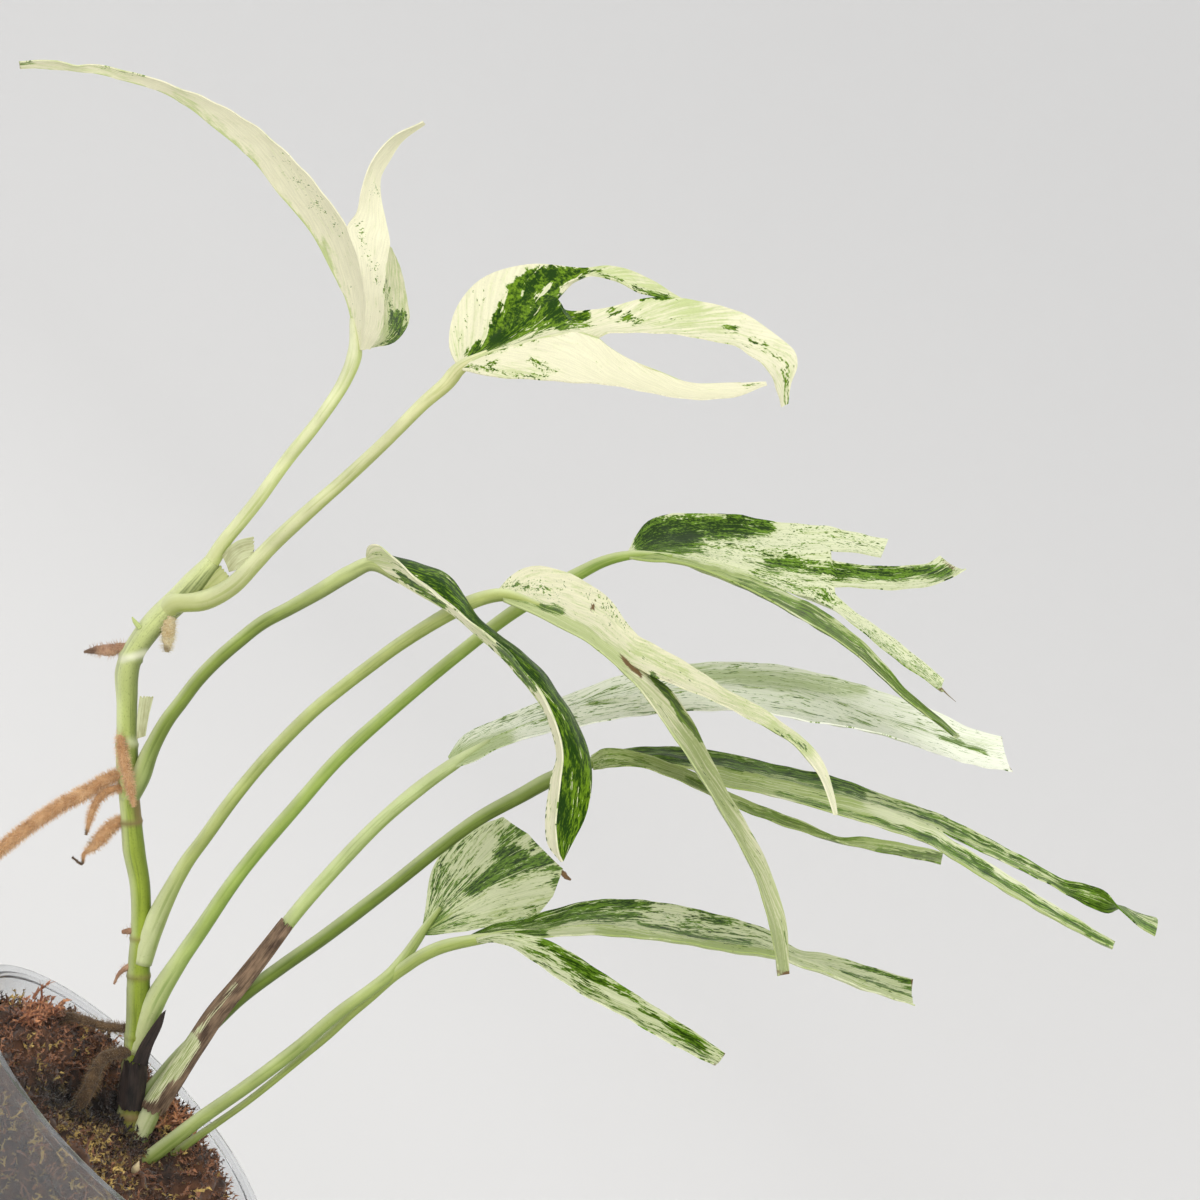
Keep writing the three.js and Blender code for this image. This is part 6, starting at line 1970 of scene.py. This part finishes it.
# %% [markdown]
# Slow waves in three sizes make the body lumpy, and they are damped near the wall, so that no lump comes
# through the plastic. The hollows are shaded with strokes, since little light gets down there.
# %% Moss surface
SMALL_BUMPS = (3.1 * MM, 4.3 * MM, 2.3 * MM)
SMALLEST_BUMPS = (1.7 * MM, 2.1 * MM, 1.3 * MM)
LUMPS = (8 * MM, 10 * MM, 6.5 * MM)
MOSS_SHADE = [
    (62, 1098, 116, 1108, 24, 0.9), (128, 1075, 130, 1150, 13, 0.45), (20, 1075, 40, 1090, 14, 0.4),
    (146, 1138, 168, 1172, 15, 0.5),
]


def shade_deep(piece, points):
    """Darkens the hollows of a piece of moss and smooths it."""
    set_attribute(piece, "shade", np.clip(painted(points, 0, MOSS_SHADE), 0, 0.95))
    only(piece)
    bpy.ops.object.shade_smooth()


points = read_points(moss)
bumps = ripples(points, SMALL_BUMPS) + 0.7 * ripples(points, SMALLEST_BUMPS, 4)
lumps = ripples(points, LUMPS, 2)
room = pot_inside(points[:, 2] / MM) - 0.3 - np.linalg.norm(points[:, :2], axis=1) / MM
push_out(moss, MM * (0.7 * bumps + 1.6 * lumps) * np.clip(room / 1.5, 0.2, 1))
set_attribute(moss, "tint", np.random.default_rng(3).random(len(points)) * 0.5)
shade_deep(moss, points)
moss_brown = fuzzy_material("moss_brown", (44, 26, 16), (120, 78, 48))
dress(moss, "moss", "sphagnum", moss_brown)

# %% [markdown]
# A strand of sphagnum is a thin curved shoot with small leaves all round it. One is modelled with a few
# dozen faces, and thousands of copies make the shag.
# %% Moss strand
STRAND_LENGTH = 4.6 * MM
STRAND_RADIUS = 0.44 * MM
STRAND_SEGMENTS = 4
STRAND_LEAVES = 11
LEAF_TURN = 2.4


def strand_point(curl, share):
    """A point of the strand's middle line, which bends over on its way up."""
    bend = curl * share
    return Vector((math.sin(bend) * share, 0, math.cos(bend * 0.7) * share)) * STRAND_LENGTH


def make_strand(curl):
    """One curled shoot with small leaves all round it."""
    bpy.ops.object.select_all(action="DESELECT")
    bpy.ops.mesh.primitive_grid_add(x_subdivisions=3, y_subdivisions=STRAND_SEGMENTS, size=1)
    strand = bpy.context.active_object
    mesh = strand.data
    for v in mesh.vertices:
        turn = 2 * math.pi * (v.co.x + 0.5)
        share = v.co.y + 0.5
        radius = STRAND_RADIUS * (1 - 0.75 * share**2)
        v.co = strand_point(curl, share) + Vector((math.cos(turn), math.sin(turn), 0)) * radius
    in_edit_mode(strand, weld)
    local = random.Random(5)
    blades = bmesh.new()
    blades.from_mesh(mesh)
    for k in range(STRAND_LEAVES):
        centre = strand_point(curl, (k + 0.8) / STRAND_LEAVES)
        turn = LEAF_TURN * k
        out = Vector((math.cos(turn), math.sin(turn), 0.9)).normalized()
        reach = Vector((-math.sin(turn), math.cos(turn), 0)) * STRAND_RADIUS * 0.9
        length = STRAND_RADIUS * local.uniform(2.0, 3.6)
        corners = [centre - reach, centre + reach, centre + out * length]
        blades.faces.new([blades.verts.new(c) for c in corners])
    blades.to_mesh(mesh)
    blades.free()
    mesh.update()
    return strand


strands = [make_strand(0.9), make_strand(1.6)]
print("a strand has", len(strands[0].data.polygons), "faces")

# %% [markdown]
# A strand stands on a point of the body and leans at random. Those at the wall lie flat against the
# plastic, as one sees through a clear pot.
# %% Moss shag
PRESS_GAP = 0.3
STRAND_FOOT = 2.0 * MM
TOP_HEIGHT = 0.7 * POT_HEIGHT

moss_points = read_points(moss)
moss_normals = read_points(moss, "normals")
top_points = np.flatnonzero((moss_points[:, 2] > TOP_HEIGHT) & (moss_normals[:, 2] > 0.15))


def press_in(piece):
    """Moss that would stick out through the pot is pressed flat against its wall and floor."""
    points = read_points(piece)
    points[:, 2] = np.maximum(points[:, 2], (POT_FLOOR + PRESS_GAP) * MM)
    room = pot_inside(np.minimum(points[:, 2] / MM, pot_height)) * MM - PRESS_GAP * MM
    reach = np.linalg.norm(points[:, :2], axis=1)
    points[:, :2] *= np.minimum(1, room / np.maximum(reach, MM))[:, None]
    piece.data.vertices.foreach_set("co", points.astype(np.float32).ravel())
    piece.data.update()


def shag(name, places, directions, sizes, strand, material, rng):
    """Copies of a strand that stand on the places, pressed into the pot and dressed."""
    piece = scatter(name, strand, stand_on(places, directions, sizes, rng), rng)
    press_in(piece)
    shade_deep(piece, read_points(piece))
    dress(piece, "moss", "sphagnum", material)


def on_top(count, rng, usual, strokes):
    """Places on the moss body. Strokes say where this kind of moss grows."""
    chosen = rng.choice(top_points, count)
    grows = rng.random(count) < painted(moss_points[chosen], usual, strokes)
    chosen = chosen[grows]
    outwards = moss_normals[chosen]
    places = moss_points[chosen] + rng.uniform(-1.1, 1.1, outwards.shape) * MM - STRAND_FOOT * outwards
    return places, 0.45 * outwards + rng.normal(0, 0.6, outwards.shape)


def at_wall(count, rng):
    """Places just inside the pot's wall, with directions that lie flat against it."""
    turn = rng.uniform(0, 2 * math.pi, count)
    level = rng.uniform(POT_FLOOR + 3, pot_height - 8, count)
    reach = pot_inside(level) - 1.4
    places = np.stack([reach * np.cos(turn), reach * np.sin(turn), level], axis=-1) * MM
    lean = rng.uniform(0, 2 * math.pi, count)
    beside = np.cos(lean)
    directions = np.stack([-np.sin(turn) * beside, np.cos(turn) * beside, np.abs(np.sin(lean))], axis=-1)
    directions[:, :2] *= 1 - 0.25 * rng.random((count, 1))
    return places, directions


print("points on top of the moss:", len(top_points))

# %% [markdown]
# Rust, brown and straw coloured moss grow mixed, but each has spots of its own. So every kind is drawn with
# a usual share and strokes that add to it.
# %% Kinds of moss
RUST_STROKES = [(0, 1010, 70, 1020, 42, 0.7), (165, 1120, 215, 1180, 26, 0.7)]
STRAW_STROKES = [
    (66, 1115, 112, 1165, 26, 0.7), (20, 1045, 34, 1075, 16, 0.5), (160, 1140, 185, 1190, 14, 0.3),
]
STRAND_SIZES = (0.5, 1.25)
moss_rust = fuzzy_material("moss_rust", (62, 38, 24), (178, 124, 90))
moss_straw = fuzzy_material("moss_straw", (110, 84, 36), (222, 190, 112))
rng = np.random.default_rng(11)
for name, count, material, usual, strokes, strand in (
    ("moss_shag_rust", 6000, moss_rust, 0.25, RUST_STROKES, strands[0]),
    ("moss_shag_brown", 5000, moss_brown, 0.85, [], strands[1]),
    ("moss_shag_straw", 5000, moss_straw, 0.1, STRAW_STROKES, strands[1]),
):
    places, directions = on_top(count, rng, usual, strokes)
    shag(name, places, directions, rng.uniform(*STRAND_SIZES, len(places)), strand, material, rng)
for name, count, material, strand in (
    ("moss_wall", 3400, moss_rust, strands[0]),
    ("moss_wall_straw", 2200, moss_straw, strands[1]),
):
    places, directions = at_wall(count, rng)
    shag(name, places, directions, rng.uniform(*STRAND_SIZES, len(places)), strand, material, rng)

# %% [markdown]
# A few stray things make the plant look grown: a twig on the moss, a pale bud low on the stem, a bump near
# its top, the dried thread at a leaf tip, and a crumb on the young leaf's edge. Each is a short stalk
# again.
# %% Small things
SMALL_STEPS = 24
SMALL_SIDES = 8
NEAR_PIXELS = 9
TWIG_ENDS = [(46, 1006, 3), (68, 1002, 5)]
STEM_BUD = [(133, 1174, 16), (136, 1168, 17), (139, 1161, 17)]
STEM_BUMP = [(140, 628, 3), (135, 622, 3.4), (132, 617, 3.4)]
TIP_THREAD = [(941, 688, -13), (948, 695, -12), (956, 702, -11)]
EDGE_CRUMB = [(561, 870, -34), (566, 877, -33), (571, 880, -33)]


def on_moss(x, y, lift):
    """The point of the moss body that is seen at a pixel, with a lift in millimetres."""
    away = np.linalg.norm(pixels_of(moss_points) - np.array((x, y), float), axis=1)
    close = np.flatnonzero(away < max(NEAR_PIXELS, away.min() + 3))
    front = moss_points[close] @ np.array(toward_viewer)
    return moss_points[close[np.argmax(front)]] + lift * MM * np.array(toward_viewer)


def small_stalk(name, path, radii, node, slot, dark, light):
    """A short lumpy stalk with a colour of its own."""
    piece = tube(name, even(np.array(path), SMALL_STEPS), radii, SMALL_SIDES, lumpy)
    dress(piece, node, slot, fuzzy_material(name, dark, light, 0.7))


twig = [on_moss(*end) for end in TWIG_ENDS]
small_stalk("moss_twig", twig, [0.5, 0.55, 0.4, 0.2], "moss", "sphagnum", (40, 28, 20), (92, 70, 54))
small_stalk(
    "stem_bud", place(STEM_BUD), [0.3, 1.1, 1.2, 0.7, 0.15], "stem", "green_stem",
    (206, 186, 140), (238, 226, 196),
)
small_stalk(
    "stem_bump", place(STEM_BUMP), [0.8, 0.8, 0.6, 0.2], "stem", "green_stem",
    (182, 196, 120), (206, 216, 150),
)
small_stalk(
    "leaf_e_thread", place(TIP_THREAD), [0.3, 0.2, 0.12, 0.06], "leaf_e", "half_green_leaf",
    (120, 104, 66), (176, 160, 112),
)
small_stalk(
    "leaf_i_crumb", place(EDGE_CRUMB), [0.3, 0.9, 0.7, 0.3], "leaf_i", "pale_leaf",
    (110, 78, 46), (178, 138, 96),
)

# %% [markdown]
# Three tufts of orange moss stand out of the brown. Their strands are drawn round three pixels, a little
# longer than the others and more upright.
# %% Moss tufts
TUFTS = [(170, 1116, 1), (30, 1012, 1), (40, 1008, 1)]
TUFT_STRANDS = 26
TUFT_SPREAD = 1.6 * MM
TUFT_SIZES = (0.8, 1.5)
moss_orange = fuzzy_material("moss_orange", (130, 76, 50), (206, 146, 104))
tuft_rng = np.random.default_rng(23)
tuft_places = np.repeat([on_moss(*spot) for spot in TUFTS], TUFT_STRANDS, axis=0)
tuft_places = tuft_places + tuft_rng.normal(0, TUFT_SPREAD, tuft_places.shape)
tuft_directions = tuft_rng.normal(0, 0.5, tuft_places.shape) + np.array((0, 0, 0.8))
tuft_sizes = tuft_rng.uniform(*TUFT_SIZES, len(tuft_places))
shag("moss_tuft", tuft_places, tuft_directions, tuft_sizes, strands[0], moss_orange, tuft_rng)
discard(*strands)

# %% [markdown]
# The pot is one thin wall of clear plastic. Its profile is drawn from the middle of the base, up the
# outside, over the lip and down the inside, by extruding a single point.
# %% Pot
POT_LIP_HEIGHT = 2.6
POT_FOOT_BEVEL = 1.5
SPIN_STEPS = 144
POT_CREASE_ANGLE = math.radians(40)


def pot_profile():
    """Corners of the wall as radius and height in millimetres, with small steps round each edge."""
    neck = rim_radius - POT_LIP_REACH
    lip = pot_height - POT_LIP_HEIGHT
    round_edge = POT_FOOT_BEVEL / 3
    return [
        (0, 0), (POT_BASE_RADIUS - POT_FOOT_BEVEL, 0), (POT_BASE_RADIUS - 0.4, 0.4),
        (POT_BASE_RADIUS, POT_FOOT_BEVEL), (neck, lip), (rim_radius - round_edge, lip),
        (rim_radius - 0.1, lip + 0.2), (rim_radius, lip + round_edge),
        (rim_radius, pot_height - round_edge), (rim_radius - 0.15, pot_height - 0.15),
        (rim_radius - round_edge, pot_height), (neck - POT_WALL, pot_height),
        (pot_inside(POT_FLOOR), POT_FLOOR), (0, POT_FLOOR),
    ]


def make_pot():
    """Extrudes a point along the profile and spins the line about the axis."""
    bpy.ops.object.select_all(action="DESELECT")
    bpy.ops.mesh.primitive_plane_add(size=MM)
    pot = bpy.context.active_object
    bpy.ops.object.mode_set(mode="EDIT")
    bpy.ops.mesh.select_all(action="SELECT")
    bpy.ops.mesh.merge(type="CENTER")
    r, z = pot_profile()[0]
    for next_r, next_z in pot_profile()[1:]:
        move = Vector((next_r - r, 0, next_z - z)) * MM
        bpy.ops.mesh.extrude_region_move(TRANSFORM_OT_translate={"value": move})
        r, z = next_r, next_z
    bpy.ops.mesh.select_all(action="SELECT")
    bpy.ops.mesh.spin(steps=SPIN_STEPS, angle=2 * math.pi, center=(0, 0, 0), axis=(0, 0, 1))
    bpy.ops.mesh.select_all(action="SELECT")
    weld()
    face_outwards()
    bpy.ops.object.mode_set(mode="OBJECT")
    pot.name = pot.data.name = "pot"
    only(pot)
    bpy.ops.object.shade_smooth_by_angle(angle=POT_CREASE_ANGLE)
    return pot


pot = make_pot()
print("pot:", len(pot_profile()), "corners in its profile")

# %% [markdown]
# Damp moss has clouded the plastic, so it is rougher than clean glass, in patches. A faint waviness of the
# wall bends what one sees through it.
# %% Clear plastic
HAZE_NOISE = ((60, 60, 60), 1.1, 4)
WAVE_NOISE = ((25, 25, 90), 4.4, 2)
plastic, tree, shader = new_material(
    "clear_plastic", 0.22, Transmission_Weight=0.96, IOR=1.45, Base_Color=colour(238, 240, 242),
)
space = space_of(tree)
haze = noise(tree, space, *HAZE_NOISE)
wire(tree, shader.inputs["Roughness"], ramp(tree, haze, 0.3, 0.75, 0.06, 0.24))
wire(tree, shader.inputs["Normal"], bump(tree, noise(tree, space, *WAVE_NOISE), 0.04, MM))
dress(pot, "pot", "clear_plastic", plastic)

# %% [markdown]
# The photograph's backdrop is one seamless pale grey. So the floor sweeps up into a far wall in one curve,
# and no edge of it is seen.
# %% Backdrop
SWEEP_FLAT = 1.5
SWEEP_RADIUS = 1.2
SWEEP_TOP = 1.6
SWEEP_STEPS = 24
SWEEP_SECTORS = 96


def face_inwards():
    """Turns all faces towards the plant."""
    bpy.ops.mesh.normals_make_consistent(inside=True)


profile = [(0.0, 0.0), (0.4, 0.0), (0.9, 0.0), (SWEEP_FLAT, 0.0)]
for k in range(1, SWEEP_STEPS + 1):
    turn = math.pi / 2 * k / SWEEP_STEPS
    profile.append((SWEEP_FLAT + SWEEP_RADIUS * math.sin(turn), SWEEP_RADIUS * (1 - math.cos(turn))))
profile.append((SWEEP_FLAT + SWEEP_RADIUS, SWEEP_TOP))
turns = np.linspace(0, 2 * math.pi, SWEEP_SECTORS + 1)
sweep_points = np.array([[(r * math.cos(a), r * math.sin(a), z) for a in turns] for r, z in profile])
sweep = lay_sheet("sweep", sweep_points)[0]
in_edit_mode(sweep, weld, face_inwards)
only(sweep)
bpy.ops.object.shade_smooth()
print("the backdrop starts to rise", SWEEP_FLAT, "m away")

# %% [markdown]
# The grey gets a little darker towards the upper right of the picture, as the light falls off. So this
# painted falloff of light follows the view's own directions, with a faint cloudiness.
# %% Backdrop paper
CLOUD_NOISE = ((3, 3, 3), 0.5, 2)
PAPER_LIT_AND_SHADED_COLOURS = (colour(238, 237, 236), colour(216, 216, 216))
paper, tree, shader = new_material("paper", 0.9)
space = space_of(tree)
upwards = tree.nodes.new("ShaderNodeVectorMath")
upwards.operation = "DOT_PRODUCT"
wire(tree, upwards.inputs[0], space)
upwards.inputs[1].default_value = (view_up + 0.5 * view_right).normalized()
cloud = noise(tree, space, *CLOUD_NOISE)
light_falloff = ramp(tree, math_node(tree, "MULTIPLY_ADD", cloud, 0.1, upwards.outputs["Value"]), -0.9, 1.1)
wire(tree, shader.inputs["Base Color"], mix_colours(tree, light_falloff, *PAPER_LIT_AND_SHADED_COLOURS))
sweep.data.materials.append(paper)
print("paper:", len(tree.nodes), "nodes")

# %% [markdown]
# The photograph's light is large and soft. A big soft light stands behind the viewer, raised towards the
# top of the picture, a weak one lights the plant from the left, and a pale sky fills the shadows.
# %% Light
LIGHT_AIM = Vector((0, 0, 0.2))
SKY_COLOUR = (1.0, 0.994, 0.986, 1)
SKY_STRENGTH = 1.05


def soft_light(name, direction, distance, size, watts):
    """A large square light that looks at the plant from a direction."""
    lamp = bpy.data.lights.new(name, "AREA")
    lamp.size = size
    lamp.energy = watts
    holder = bpy.data.objects.new(name, lamp)
    towards = Vector(direction).normalized()
    holder.location = LIGHT_AIM + towards * distance
    holder.rotation_euler = towards.to_track_quat("Z", "Y").to_euler()
    bpy.context.collection.objects.link(holder)


soft_light("key", (-0.6, -0.35, 0.75), 1.8, 1.6, 2.2)
soft_light("front", toward_viewer + 0.45 * view_up, 2.2, 1.8, 18)
world = bpy.data.worlds.new("world")
world.use_nodes = True
sky = world.node_tree.nodes["Background"]
sky.inputs["Color"].default_value = SKY_COLOUR
sky.inputs["Strength"].default_value = SKY_STRENGTH
bpy.context.scene.world = world
bpy.context.scene.view_settings.view_transform = "Standard"
print("lights:", len(bpy.data.lights))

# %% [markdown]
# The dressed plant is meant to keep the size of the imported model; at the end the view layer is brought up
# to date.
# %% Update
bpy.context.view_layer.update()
